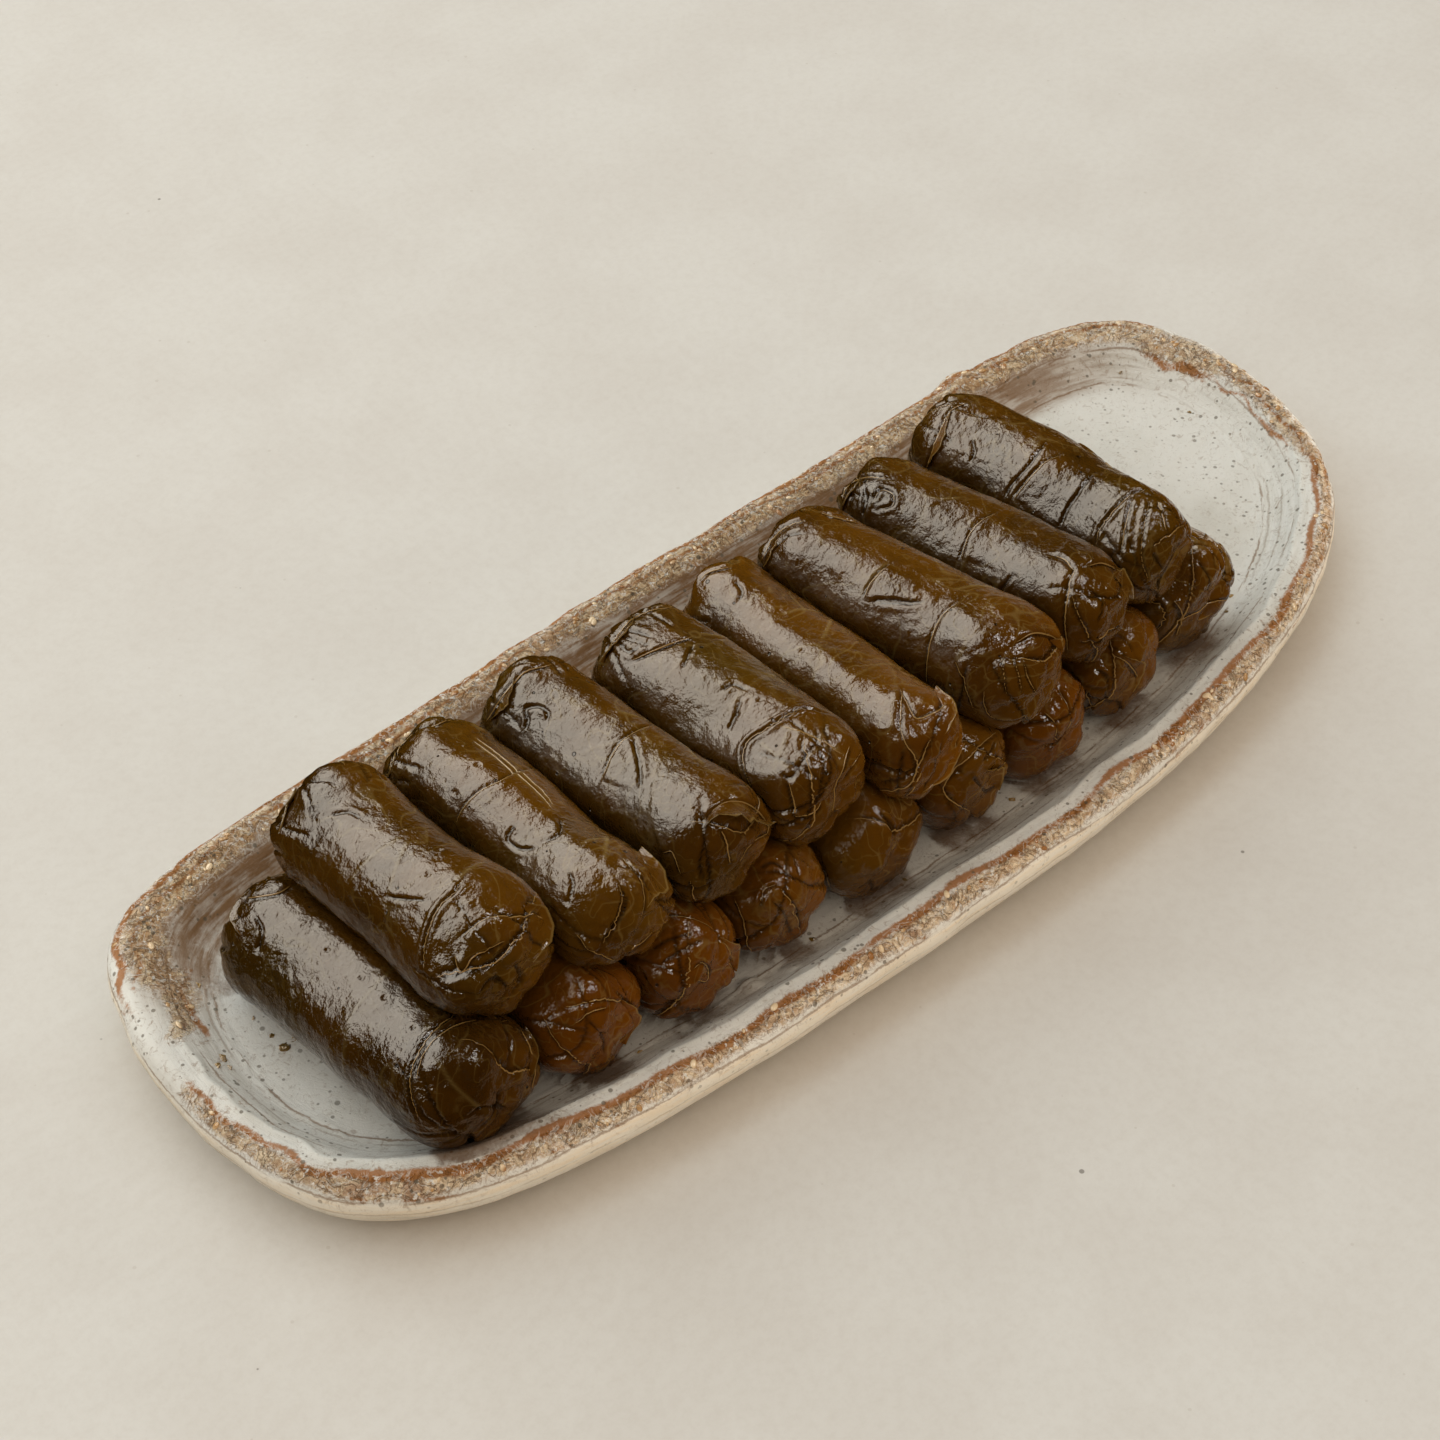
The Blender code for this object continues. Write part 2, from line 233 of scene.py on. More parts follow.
# The dish. A long oblong of stoneware pinched and smoothed by hand, dipped in
# a pale speckled glaze that has broken to bare rust-brown along its rim.
DISH_HALF_LENGTH = 148.5 * MM
DISH_HALF_WIDTH = 59.4 * MM
FULLNESS_BACK_LEFT = 5.2
FULLNESS_BACK_RIGHT = 4.5
FULLNESS_FRONT_LEFT = 4.6
FULLNESS_FRONT_RIGHT = 3.2
SIDE_BOW = 10.7 * MM
# Waves of the outline: how many in a turn, how high, and where they start
EDGE_WAVES = ((2, 2.9 * MM, -0.26), (3, 0.6 * MM, 2.45), (4, 2.4 * MM, -0.41), (5, 0.7 * MM, -1.47))
DISH_HEIGHT = 16.0 * MM
DISH_FLOOR = 9.3 * MM
FLOOR_INSET = 18.0 * MM
CREST_INSET = 4.0 * MM
FOOT_INSET = 7.4 * MM
RIM_WAVE = 0.35 * MM
# Section of the wall, from the floor over the rim to the foot: how far in from
# the outer edge, and how high, in mm
WALL_SECTION = (
    (18.0, 9.3), (15.5, 9.7), (13.4, 10.64), (11.5, 12.1), (9.8, 13.7), (8.2, 15.0), (6.4, 15.75),
    (3.9, 16.0), (2.0, 15.45), (0.7, 14.1), (0.0, 11.7), (0.5, 8.5), (2.3, 4.65), (4.8, 1.6), (7.4, 0.0),
)
DISH_COLUMNS = 960
FLOOR_ROWS = 14
WALL_ROWS = 76
FOOT_ROWS = 7


def dish_edge(angle, inset):
    """Points of the dish's outline at directions round it, moved inwards by inset."""
    c, s = np.cos(angle), np.sin(angle)
    back = np.where(c > 0, FULLNESS_BACK_RIGHT, FULLNESS_BACK_LEFT)
    front = np.where(c > 0, FULLNESS_FRONT_RIGHT, FULLNESS_FRONT_LEFT)
    fullness = np.where(s > 0, back, front)
    reach = (np.abs(c) ** fullness + np.abs(s) ** fullness) ** (-1 / fullness)
    move = sum(height * np.cos(count * angle + phase) for count, height, phase in EDGE_WAVES) - inset
    return (DISH_HALF_LENGTH + move) * reach * c, (DISH_HALF_WIDTH + move) * reach * s


def even_steps(line, count):
    """Points at even distances along a line given by its corners, rounded between them."""
    line = np.asarray(line, float)
    before = np.vstack([2 * line[0] - line[1], line, 2 * line[-1] - line[-2]])
    share = np.linspace(0, 1, 24, endpoint=False)[:, None]
    rounded = [
        0.5 * (2 * b + (c - a) * share + (2 * a - 5 * b + 4 * c - d) * share ** 2
               + (3 * b - a - 3 * c + d) * share ** 3)
        for a, b, c, d in zip(before, before[1:], before[2:], before[3:])
    ]
    rounded = np.vstack(rounded + [line[-1:]])
    run = np.concatenate([[0], np.cumsum(np.linalg.norm(np.diff(rounded, axis=0), axis=1))])
    at = np.linspace(0, run[-1], count)
    return np.stack([np.interp(at, run, rounded[:, k]) for k in range(line.shape[1])], 1)


def quad_rows(grid):
    """Four-sided faces between the rows of a grid of point numbers that closes round its columns."""
    beside = np.roll(grid, -1, 1)
    return np.stack([grid[:-1], beside[:-1], beside[1:], grid[1:]], -1).reshape(-1, 4)


def keep_values(mesh, name, values):
    """Keeps a number, or three, on each point of a mesh under a name."""
    values = np.asarray(values, np.float32)
    flat = values.ndim == 1
    layer = mesh.attributes.new(name, "FLOAT" if flat else "FLOAT_VECTOR", "POINT")
    layer.data.foreach_set("value" if flat else "vector", values.ravel())


def wrapped_mesh(name, material, points, **values):
    """A closed mesh of rows of points round a form, with one point at each end.

    points has shape rows, columns, 3; the first and last rows are the two poles.
    The values, one or three for each point, are kept on its points under their names.
    """
    rows, columns, _ = points.shape

    def on_corners(grid):
        return np.concatenate([grid[1:-1].reshape(-1, *grid.shape[2:]), [grid[0].mean(0), grid[-1].mean(0)]])

    grid = np.arange((rows - 2) * columns).reshape(rows - 2, columns)
    beside = np.roll(grid, -1, 1)
    bottom = np.stack([np.full(columns, grid.size), beside[0], grid[0]], -1)
    top = np.stack([np.full(columns, grid.size + 1), grid[-1], beside[-1]], -1)
    mesh = bpy.data.meshes.new(name)
    faces = quad_rows(grid).tolist() + bottom.tolist() + top.tolist()
    mesh.from_pydata(on_corners(points).tolist(), [], faces)
    for key, value in values.items():
        keep_values(mesh, key, on_corners(value))
    mesh.materials.append(material)
    mesh.shade_smooth()
    return mesh


def ridge(distance, middle, half):
    """One on a line, falling off like a bell to both sides of it."""
    return np.exp(-((distance - middle) / half) ** 2)


full_turn = np.linspace(0, math.tau, 20001)
edge_x, edge_y = dish_edge(full_turn, CREST_INSET)
edge_run = np.concatenate([[0], np.cumsum(np.hypot(np.diff(edge_x), np.diff(edge_y)))])
dish_run = np.arange(DISH_COLUMNS) / DISH_COLUMNS * edge_run[-1]
dish_angle = np.interp(dish_run, edge_run, full_turn)
wall = even_steps(np.array(WALL_SECTION) * MM, WALL_ROWS)
# How far each row of the wall lies from the crest: inwards below zero, outwards above
wall_step = np.linalg.norm(np.diff(wall, axis=0), axis=1)
from_crest = np.concatenate([[0], np.cumsum(wall_step)]) / MM
from_crest -= from_crest[wall[:, 1].argmax()]
# Each row's inset, height and share of the way out from the middle of the dish
dish_rows = [(FLOOR_INSET, DISH_FLOOR, share) for share in np.linspace(0, 1, FLOOR_ROWS, endpoint=False)]
dish_rows += [(inset, height, 1.0) for inset, height in wall]
dish_rows += [(FOOT_INSET, 0.0, share) for share in np.linspace(1, 0, FOOT_ROWS + 1)[1:]]
dish_points = []
for inset, height, share in dish_rows:
    x, y = dish_edge(dish_angle, inset)
    dish_points.append(np.stack([x * share, y * share, np.full(DISH_COLUMNS, height)], -1))
dish_points = np.array(dish_points)
dish_points[..., 1] += SIDE_BOW * (dish_points[..., 0] / DISH_HALF_LENGTH) ** 2
on_rim = np.clip((dish_points[..., 2] - DISH_FLOOR) / (DISH_HEIGHT - DISH_FLOOR), 0, 1)
dish_points[..., 2] += on_rim * RIM_WAVE * np.sin(3 * dish_angle + 0.8)
low, high = (np.array(corner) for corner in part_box("dish"))
shift = (low + high) / 2 - (dish_points.min((0, 1)) + dish_points.max((0, 1))) / 2
dish_points[..., :2] += shift[:2]

# Bands round the wall, in mm from the crest: inwards below zero. The crust of
# broken glaze sits just outside the crest in front, over it at the back and the
# right end, and inside a smooth white lip at the left end, with a gap beside it.
band = np.zeros((len(dish_rows), DISH_COLUMNS))
band[:FLOOR_ROWS] = from_crest[0] - np.linspace(45, 0, FLOOR_ROWS, endpoint=False)[:, None]
band[FLOOR_ROWS:FLOOR_ROWS + WALL_ROWS] = from_crest[:, None]
band[FLOOR_ROWS + WALL_ROWS:] = from_crest[-1] + np.linspace(5, 50, FOOT_ROWS)[:, None]


def zone(middle, half, soft):
    """One over a part of the dish's edge, given by its direction and half width in degrees."""
    away = np.degrees(np.abs((dish_angle - math.radians(middle) + math.pi) % math.tau - math.pi))
    return 0.5 - 0.5 * np.tanh((away - half) / soft)


def stripe(middle, half):
    """A soft stripe along the wall, a few mm from the crest, that wanders a little."""
    wander = 0.7 * np.sin(17 * dish_angle + 2 * np.sin(5 * dish_angle)) + 0.4 * np.sin(41 * dish_angle)
    return ridge(band + wander, middle, half)


left_end = zone(161, 10, 5)
right_end = zone(-9, 16, 3)
back_right = zone(17, 9, 3)
back_side = zone(92, 66, 4)
front_side = np.clip(1 - left_end - right_end - back_right - back_side, 0, 1)
thinned = zone(176, 5, 3)
crust_middle = 2.2 * front_side - 6.8 * left_end - 0.5 * right_end - 3.0 * back_right - 0.5 * back_side
crust_half = 2.3 * front_side + 3.0 * left_end + 3.8 * right_end + 5.0 * back_right + 4.4 * back_side
crust = np.clip(1.0 - 0.5 * (np.abs(band - crust_middle) / crust_half) ** 2, 0, 1) * (1 - 0.85 * thinned)
channel = stripe(-3.2, 0.8) * (front_side + right_end) + 0.3 * stripe(-2.6, 1.6) * left_end
rust = front_side * (stripe(0.2, 1.1) + 0.40 * stripe(4.9, 0.4)) * (1 - thinned)
rust += 0.8 * left_end * stripe(-9.0, 1.2) * (1 - thinned)
rust += 0.9 * right_end * stripe(-1.2, 0.7)
rust += 0.8 * right_end * stripe(-5.0, 0.8) + back_right * stripe(-6.3, 1.4)
rust += back_side * (stripe(2.6, 1.1) + 0.7 * stripe(-0.4, 0.7)) + 0.6 * zone(-35, 18, 4) * stripe(3.4, 1.0)
wheel_marks = np.sin(23 * dish_angle + 1.3 * np.sin(7 * dish_angle)) * ridge(band, 10, 5)
height = (-0.45 * channel - 0.16 * stripe(-13.4, 0.5) + 0.25 * crust + 0.15 * wheel_marks) * MM

# Places where the rim is chipped or pressed in: across and down in the picture,
# and how far the mark reaches and how deep it is, in mm
DENTS = (
    (958, 380, 5.0, 1.3), (750, 968, 2.2, 0.9), (790, 955, 1.6, 0.5), (1300, 700, 3.0, 0.5),
    (182, 905, 3.0, 0.6),
)
for across, down, reach, depth in DENTS:
    ray = picture_ray(across, down)
    spot = camera.location + ray * ((DISH_HEIGHT - camera.location.z) / ray.z)
    away = np.hypot(dish_points[..., 0] - spot.x, dish_points[..., 1] - spot.y) / (reach * MM)
    height -= depth * MM * np.exp(-away ** 4) * (band < 9)
across = np.gradient(dish_points, axis=0)
along = np.roll(dish_points, -1, 1) - np.roll(dish_points, 1, 1)
facing = np.cross(along, across)
facing /= np.linalg.norm(facing, axis=2)[..., None] + 1e-12
on_wall = (band > from_crest[0] + 1) & (band < from_crest[-1] - 3)
dish_points += facing * (height * on_wall)[..., None]

# Cooking juice and painted shade: a brown film at the feet of the rolls that also paints their shade on the
# dish, in mm, widest behind them
JUICE_BESIDE = 0.9
JUICE_BEHIND = 8.0
JUICE_BEFORE = 4.5
feet, foot_faces = [], []
for number in range(1, 10):
    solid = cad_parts[f"dolma_floor_{number}"].data
    foot_faces += [[len(feet) + corner for corner in face.vertices] for face in solid.polygons]
    feet += [vertex.co for vertex in solid.vertices]
feet = BVHTree.FromPolygons(feet, foot_faces)
juice = np.zeros(band.shape)
for row, column in zip(*np.nonzero(band < 0)):
    spot = Vector(dish_points[row, column])
    foot, _, _, away = feet.find_nearest(spot)
    lean = (spot.y - foot.y) / (math.hypot(spot.x - foot.x, spot.y - foot.y) + 1e-6)
    film = (JUICE_BESIDE + JUICE_BEHIND * max(lean, 0) + JUICE_BEFORE * min(lean, 0) ** 2) * MM
    juice[row, column] = math.exp(-(away / film) ** 2)
whole = edge_run[-1] / math.tau
ring = np.stack([
    whole * np.cos(dish_run / whole) + 0 * band, whole * np.sin(dish_run / whole) + 0 * band, band * MM,
], -1)


def new_geometry_tree(name, *sizes):
    """An empty geometry tree with named inputs for its geometry, its sizes and its material."""
    kinds = {"Geometry": "Geometry", "Seed": "Int", "Leaf": "Object", "Material": "Material"}
    tree = bpy.data.node_groups.new(name, "GeometryNodeTree")
    for label in ("Geometry", *sizes, "Material"):
        kind = kinds.get(label, "Float")
        tree.interface.new_socket(label, in_out="INPUT", socket_type="NodeSocket" + kind)
    tree.interface.new_socket("Geometry", in_out="OUTPUT", socket_type="NodeSocketGeometry")
    return tree, tree.nodes.new("NodeGroupInput").outputs


def finish_tree(tree, geometry, given):
    """Ends a geometry tree: real faces only, with the piece's material on them."""
    real = add_node(tree, "GeometryNodeRealizeInstances", {"Geometry": geometry})[0]
    dressed = add_node(tree, "GeometryNodeSetMaterial", {"Geometry": real, "Material": given["Material"]})[0]
    tree.links.new(dressed, tree.nodes.new("NodeGroupOutput").inputs["Geometry"])
    return tree


def grow(piece, tree, material, **sizes):
    """Runs a geometry tree on a piece, keeps the result as its plain mesh, and takes the tree off."""
    modifier = piece.modifiers.new(tree.name, "NODES")
    modifier.node_group = tree
    sizes["Material"] = material
    for item in tree.interface.items_tree:
        if item.name in sizes:
            modifier[item.identifier] = sizes[item.name]
    bpy.context.view_layer.update()
    view = bpy.context.evaluated_depsgraph_get()
    grown = piece.evaluated_get(view)
    mesh = bpy.data.meshes.new_from_object(grown, preserve_all_data_layers=True, depsgraph=view)
    old = piece.data
    piece.modifiers.remove(modifier)
    piece.data = mesh
    bpy.data.meshes.remove(old)
    mesh.name = piece.name


def read_number(tree, name):
    """A number kept on the points of a mesh, in a geometry tree."""
    return add_node(tree, "GeometryNodeInputNamedAttribute", {"Name": name}, data_type="FLOAT")[0]


def random_number(tree, low, high, seed):
    """A number drawn for each point, in a geometry tree."""
    return add_node(tree, "FunctionNodeRandomValue", {2: low, 3: high, "Seed": seed}, data_type="FLOAT")[1]


def vector_of(tree, x, y, z):
    """A vector of three numbers."""
    return add_node(tree, "ShaderNodeCombineXYZ", {"X": x, "Y": y, "Z": z})[0]


def vector_math(tree, operation, first, second):
    """One step of arithmetic with vectors or colours."""
    sockets = {0: first, "Scale" if operation == "SCALE" else 1: second}
    return add_node(tree, "ShaderNodeVectorMath", sockets, operation=operation)[0]


def shift_points(tree, geometry, offset):
    """Moves each point of a shape by its own offset."""
    return add_node(tree, "GeometryNodeSetPosition", {"Geometry": geometry, "Offset": offset})[0]


def push_out(tree, geometry, rise):
    """Moves each point of a skin outwards."""
    out = add_node(tree, "GeometryNodeInputNormal")[0]
    return shift_points(tree, geometry, vector_math(tree, "SCALE", out, rise))


def lumps_on(tree, points, faceting, turn, size, length, flatness):
    """Stands a lump on each point, as real faces: a ball of its own size, drawn out and flattened."""
    ball = add_node(tree, "GeometryNodeMeshIcoSphere", {"Radius": 1.0, "Subdivisions": faceting})[0]
    scale = vector_of(tree, times(tree, size, length), size, times(tree, size, flatness))
    sockets = {"Points": points, "Instance": ball, "Rotation": turn, "Scale": scale}
    lumps = add_node(tree, "GeometryNodeInstanceOnPoints", sockets)[0]
    return add_node(tree, "GeometryNodeRealizeInstances", {"Geometry": lumps})[0]


# Hand-dipped glaze: slow lumps all over the wall, and crawled ridges in the crust
tree, given = new_geometry_tree("hand_dipped_glaze", "Lump size", "Lump height", "Crawl size", "Crawl height")
where = add_node(tree, "GeometryNodeInputPosition")[0]
lump = noise(tree, where, work_out(tree, "DIVIDE", 1.0, given["Lump size"]), 2.0)
lump = times(tree, work_out(tree, "SUBTRACT", lump, 0.5), given["Lump height"])
crawl = noise(tree, where, work_out(tree, "DIVIDE", 1.0, given["Crawl size"]), 3.0, 0.65, 1.6)
crawl = times(tree, work_out(tree, "SUBTRACT", crawl, 0.45), given["Crawl height"])
crawl = times(tree, crawl, read_number(tree, "crust"))
off_foot = spread(tree, read_number(tree, "wall"), 12.0 * MM, 15.0 * MM, 1.0, 0.0)
rise = times(tree, work_out(tree, "ADD", lump, crawl), off_foot)
glaze_tree = finish_tree(tree, push_out(tree, given["Geometry"], rise), given)

# Blisters of glaze that have frozen along the crust
BLISTER_LENGTH = 1.5
tree, given = new_geometry_tree(
    "glaze_blisters", "Blisters a square metre", "Smallest", "Largest", "Flatness", "Seed",
)
on_crust = spread(tree, read_number(tree, "crust"), 0.45, 0.95)
density = times(tree, on_crust, given["Blisters a square metre"])
scattered = add_node(
    tree, "GeometryNodeDistributePointsOnFaces",
    {"Mesh": given["Geometry"], "Density": density, "Seed": given["Seed"]}, distribute_method="RANDOM",
)
size = random_number(tree, given["Smallest"], given["Largest"], given["Seed"])
turned = vector_of(tree, 0.0, 0.0, random_number(tree, 0.0, math.tau, given["Seed"]))
stood = add_node(
    tree, "FunctionNodeRotateRotation", {0: scattered["Rotation"], 1: turned}, rotation_space="LOCAL",
)[0]
beads = lumps_on(tree, scattered["Points"], 2, stood, size, BLISTER_LENGTH, given["Flatness"])
smooth = add_node(tree, "GeometryNodeSetShadeSmooth", {0: beads})[0]
blister_tree = finish_tree(tree, smooth, given)

GLAZE_PALE = (0.630, 0.605, 0.540)
GLAZE_GREY = (0.450, 0.422, 0.350)
GLAZE_WHITE = (0.640, 0.620, 0.550)
WALL_CREAM = (0.715, 0.665, 0.565)
CRUST_TAN = (0.430, 0.245, 0.100)
CRUST_CREAM = (0.740, 0.570, 0.355)
CRUST_DARK = (0.170, 0.090, 0.036)
RUST = (0.285, 0.102, 0.016)
STAIN = (0.200, 0.108, 0.046)
SPECK = (0.110, 0.090, 0.060)
# Chalk white, for white flecks in the crust and for thin painted glints over it
CHALK_AND_GLINT = (0.74, 0.70, 0.62)
# Brown of the juice, also used as painted shade at the rolls' feet
JUICE_AND_SHADE = (0.105, 0.048, 0.014)
# Specks of iron in the glaze: how many cells a metre their net has, how many
# cells have one, and their smallest and largest size in cells
IRON_SPECKS = ((640.0, 0.32, 0.14, 0.36), (330.0, 0.20, 0.09, 0.24), (150.0, 0.14, 0.05, 0.11))
# Thin lines where the glaze has pulled away: mm from the crest, and strength
PULLED_LINES = ((-13.4, 0.7), (-12.0, 0.35), (-9.0, 0.3), (-5.6, 0.6), (5.2, 0.6), (8.6, 0.3))


def number_on(tree, name):
    """A number kept on the points of a mesh, in a material."""
    return add_node(tree, "ShaderNodeAttribute", attribute_name=name)["Fac"]


def between(tree, value, low, high, soft):
    """One inside a band of values, falling to zero over a soft width at both sides."""
    rise = spread(tree, value, low - soft, low + soft)
    fall = spread(tree, value, high - soft, high + soft, 1.0, 0.0)
    return times(tree, rise, fall)


def swing(tree, *choices):
    """Noise that swings to both sides of zero."""
    return work_out(tree, "SUBTRACT", noise(tree, *choices), 0.5)


def thin_lines(tree, place, scale, width, detail=3.0, distortion=0.0):
    """Thin winding lines: one along them, zero off them."""
    level = swing(tree, place, scale, detail, 0.6, distortion)
    return spread(tree, work_out(tree, "ABSOLUTE", level), 0.0, width, 1.0, 0.0)


glaze, tree, shader, place = new_material("stoneware_glaze")
crust_here = number_on(tree, "crust")
at_right = number_on(tree, "right")
ring_place = add_node(tree, "ShaderNodeAttribute", attribute_name="ring")["Vector"]
drawn_out = vector_math(tree, "MULTIPLY", ring_place, (1.0, 1.0, 11.0))
wander = swing(tree, ring_place, 34.0, 4.0, 0.6)
wall = work_out(tree, "MULTIPLY_ADD", wander, 4.0 * MM, number_on(tree, "wall"))
coarse = swing(tree, place, 85.0, 5.0, 0.7)
fine = swing(tree, place, 640.0, 4.0, 0.7, 1.2)
scribble = thin_lines(tree, place, 190.0, 0.030, 4.0, 1.4)
streak = noise(tree, drawn_out, 90.0, 4.0, 0.6)
jitter = work_out(tree, "MULTIPLY_ADD", coarse, 1.5, times(tree, fine, 0.9))
cloud = noise(tree, place, 30.0, 4.0, 0.6)

# The glaze itself: pale, greyer in clouds and along the wiped slopes
slope = between(tree, wall, -13.5 * MM, -1.5 * MM, 0.8 * MM)
wiped = spread(tree, at_right, 0.0, 1.0, 0.40, 0.22)
wiped = times(tree, slope, spread(tree, streak, 0.40, 0.66), wiped)
grey = work_out(tree, "MAXIMUM", times(tree, spread(tree, cloud, 0.45, 0.70), 0.45), wiped)
color = blend(tree, grey, GLAZE_PALE, GLAZE_GREY)
color = coat(tree, color, GLAZE_WHITE, number_on(tree, "channel"), spread(tree, coarse, -0.15, 0.02))
cream = blend(tree, spread(tree, streak, 0.40, 0.65, 0.0, 0.4), WALL_CREAM, CRUST_CREAM)
color = coat(tree, color, cream, spread(tree, wall, 4.6 * MM, 6.0 * MM))
stained = times(tree, between(tree, wall, -15.0 * MM, 0.0, 2.0 * MM), number_on(tree, "back"))
uneven = spread(tree, work_out(tree, "ADD", streak, coarse), 0.25, 0.60, 0.5, 1.0)
color = coat(tree, color, STAIN, stained, uneven)

# Broken glaze: cream and tan, scribbled over with brown, and rust in patches
ragged = work_out(tree, "ADD", crust_here, jitter)
tan = spread(tree, ragged, 0.45, 0.85)
near_crust = spread(tree, ragged, 0.1, 0.6)
gritty = spread(tree, work_out(tree, "ADD", fine, coarse), -0.09, 0.09)
broken = blend(tree, gritty, CRUST_TAN, CRUST_CREAM)
broken = coat(tree, broken, RUST, spread(tree, coarse, 0.04, 0.13, 0.0, 0.75))
color = coat(tree, color, broken, tan, 0.8)
color = coat(tree, color, CRUST_DARK, scribble, near_crust, 0.65)
color = coat(tree, color, CRUST_DARK, thin_lines(tree, place, 430.0, 0.050, 3.0, 1.2), near_crust, 0.40)
patchy = spread(tree, work_out(tree, "MULTIPLY_ADD", jitter, 1.2, number_on(tree, "rust")), 0.30, 0.80)
color = coat(tree, color, RUST, patchy, 0.9)
# Painted glints: thin white lines over the crust
color = coat(tree, color, CHALK_AND_GLINT, thin_lines(tree, place, 260.0, 0.035, 3.0, 1.0), near_crust, 0.45)

# Thin brown lines where the glaze has pulled away, fewer inside the right end
thread = work_out(tree, "MULTIPLY_ADD", fine, 1.1 * MM, wall)
elsewhere = spread(tree, at_right, 0.0, 1.0, 1.0, 0.15)
for middle, strength in PULLED_LINES:
    pulled = between(tree, thread, (middle - 0.25) * MM, (middle + 0.25) * MM, 0.15 * MM)
    pulled = times(tree, pulled, spread(tree, streak, 0.38, 0.52), strength)
    color = coat(tree, color, CRUST_DARK, pulled, *([elsewhere] if middle < -6 else []))

# Iron specks and strokes, grime round the crust, and the film of juice with painted shade at the rolls' feet
near_rim = spread(tree, wall, -24.0 * MM, -10.0 * MM, 0.65, 1.0)
inside = spread(tree, wall, 4.0 * MM, 8.0 * MM, 1.0, 0.35)
for net in IRON_SPECKS:
    color = coat(tree, color, SPECK, specks(tree, place, *net), near_rim, inside, 0.75)
stroke = spread(tree, noise(tree, place, 430.0, 5.0, 0.75, 2.0), 0.54, 0.66)
color = coat(tree, color, STAIN, stroke, near_rim, inside, 0.45)
grime = spread(tree, noise(tree, place, 210.0, 6.0, 0.8, 1.0), 0.56, 0.68)
color = coat(tree, color, STAIN, grime, spread(tree, wall, -16.0 * MM, -7.0 * MM), inside, 0.6)
color = coat(tree, color, CHALK_AND_GLINT, spread(tree, noise(tree, place, 800.0, 3.0, 0.6), 0.60, 0.66), tan, 0.85)
# The juice film, which also paints the shade of the rolls on the dish
wet_and_shaded = spread(tree, work_out(tree, "MULTIPLY_ADD", jitter, 0.6, number_on(tree, "juice")), 0.15, 1.0)
color = coat(tree, color, JUICE_AND_SHADE, wet_and_shaded, 0.85)
# Painted light and shade on the outer wall: brighter all round, brighter still at the right end and darker at
# the left end
painted_wall_light = spread(tree, wall, -0.5 * MM, 3.0 * MM, 1.0, number_on(tree, "outside"))
color = vector_math(tree, "SCALE", color, painted_wall_light)
rough = spread(tree, tan, 0.0, 1.0, 0.36, 0.60)
rough = work_out(tree, "MULTIPLY_ADD", wet_and_shaded, -0.2, rough)
normal = bump(tree, cloud, 1.2 * MM, 0.5)
normal = bump(tree, streak, 0.30 * MM, 0.6, normal)
rugged = work_out(tree, "SUBTRACT", fine, times(tree, scribble, 0.25))
rugged = times(tree, rugged, work_out(tree, "ADD", tan, 0.12))
normal = bump(tree, rugged, 0.9 * MM, 1.0, normal)
set_inputs(tree, shader, {
    "Base Color": color, "Roughness": rough, "Specular IOR Level": 0.05, "Normal": normal,
})

blister_glaze, tree, shader, place = new_material("blister_glaze")
tint = blend(tree, spread(tree, noise(tree, place, 240.0), 0.42, 0.58), CRUST_TAN, CRUST_CREAM)
tint = coat(tree, tint, RUST, spread(tree, noise(tree, place, 130.0), 0.52, 0.62, 0.0, 0.8))
set_inputs(tree, shader, {
    "Base Color": tint, "Roughness": 0.14, "Specular IOR Level": 0.30,
    "Normal": bump(tree, noise(tree, place, 1500.0), 0.10 * MM),
})

# Painted light towards the right end of the outer wall and painted shade towards its left end
right_light = 0.40 * zone(-14, 26, 10)
left_shade = 0.28 * zone(197, 30, 12)
stoneware_dish = stand("stoneware_dish", wrapped_mesh(
    "stoneware_dish", glaze, dish_points, ring=ring, wall=band * MM, crust=crust, channel=channel, rust=rust,
    juice=juice, back=zone(97, 59, 11) + 0 * band, right=right_end + back_right + 0 * band,
    outside=1.22 - left_shade + right_light + 0 * band,
))
grow(stoneware_dish, glaze_tree, glaze, **{
    "Lump size": 14 * MM, "Lump height": 1.5 * MM, "Crawl size": 3.0 * MM, "Crawl height": 1.5 * MM,
})
blisters = stand("glaze_blisters", stoneware_dish.data.copy())
grow(blisters, blister_tree, blister_glaze, **{
    "Blisters a square metre": 40000.0, "Smallest": 0.15 * MM, "Largest": 0.70 * MM, "Flatness": 0.5,
    "Seed": 4,
})
# The grid was wound inside out, so the faces of the finished dish are turned to point outwards
stoneware_dish.data.flip_normals()
for piece in (stoneware_dish, blisters):
    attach(piece, "root")
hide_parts("dish")


# Crumbs of leaf and filling that have dropped on the dish beside the rolls:
# each is a ragged flake, placed where the picture shows it, and its share of
# the usual size.
CRUMBS = (
    (285, 1047, 1.3), (292, 1040, 0.8), (272, 1036, 0.6), (222, 1058, 1.1), (217, 1066, 0.8),
    (229, 1068, 0.7), (234, 984, 0.8), (242, 990, 0.6), (198, 985, 0.7), (253, 1018, 0.5),
    (1232, 596, 0.7), (1226, 612, 0.5), (1120, 372, 0.6), (1190, 412, 0.6), (640, 1052, 0.6),
    (812, 940, 0.7), (905, 880, 0.6), (1012, 800, 0.7),
)
CRUMB_HALF = 0.75 * MM
CRUMB_LENGTH = 1.4
CRUMB_PALE = (0.30, 0.17, 0.030)
CRUMB_DARK = (0.12, 0.066, 0.008)

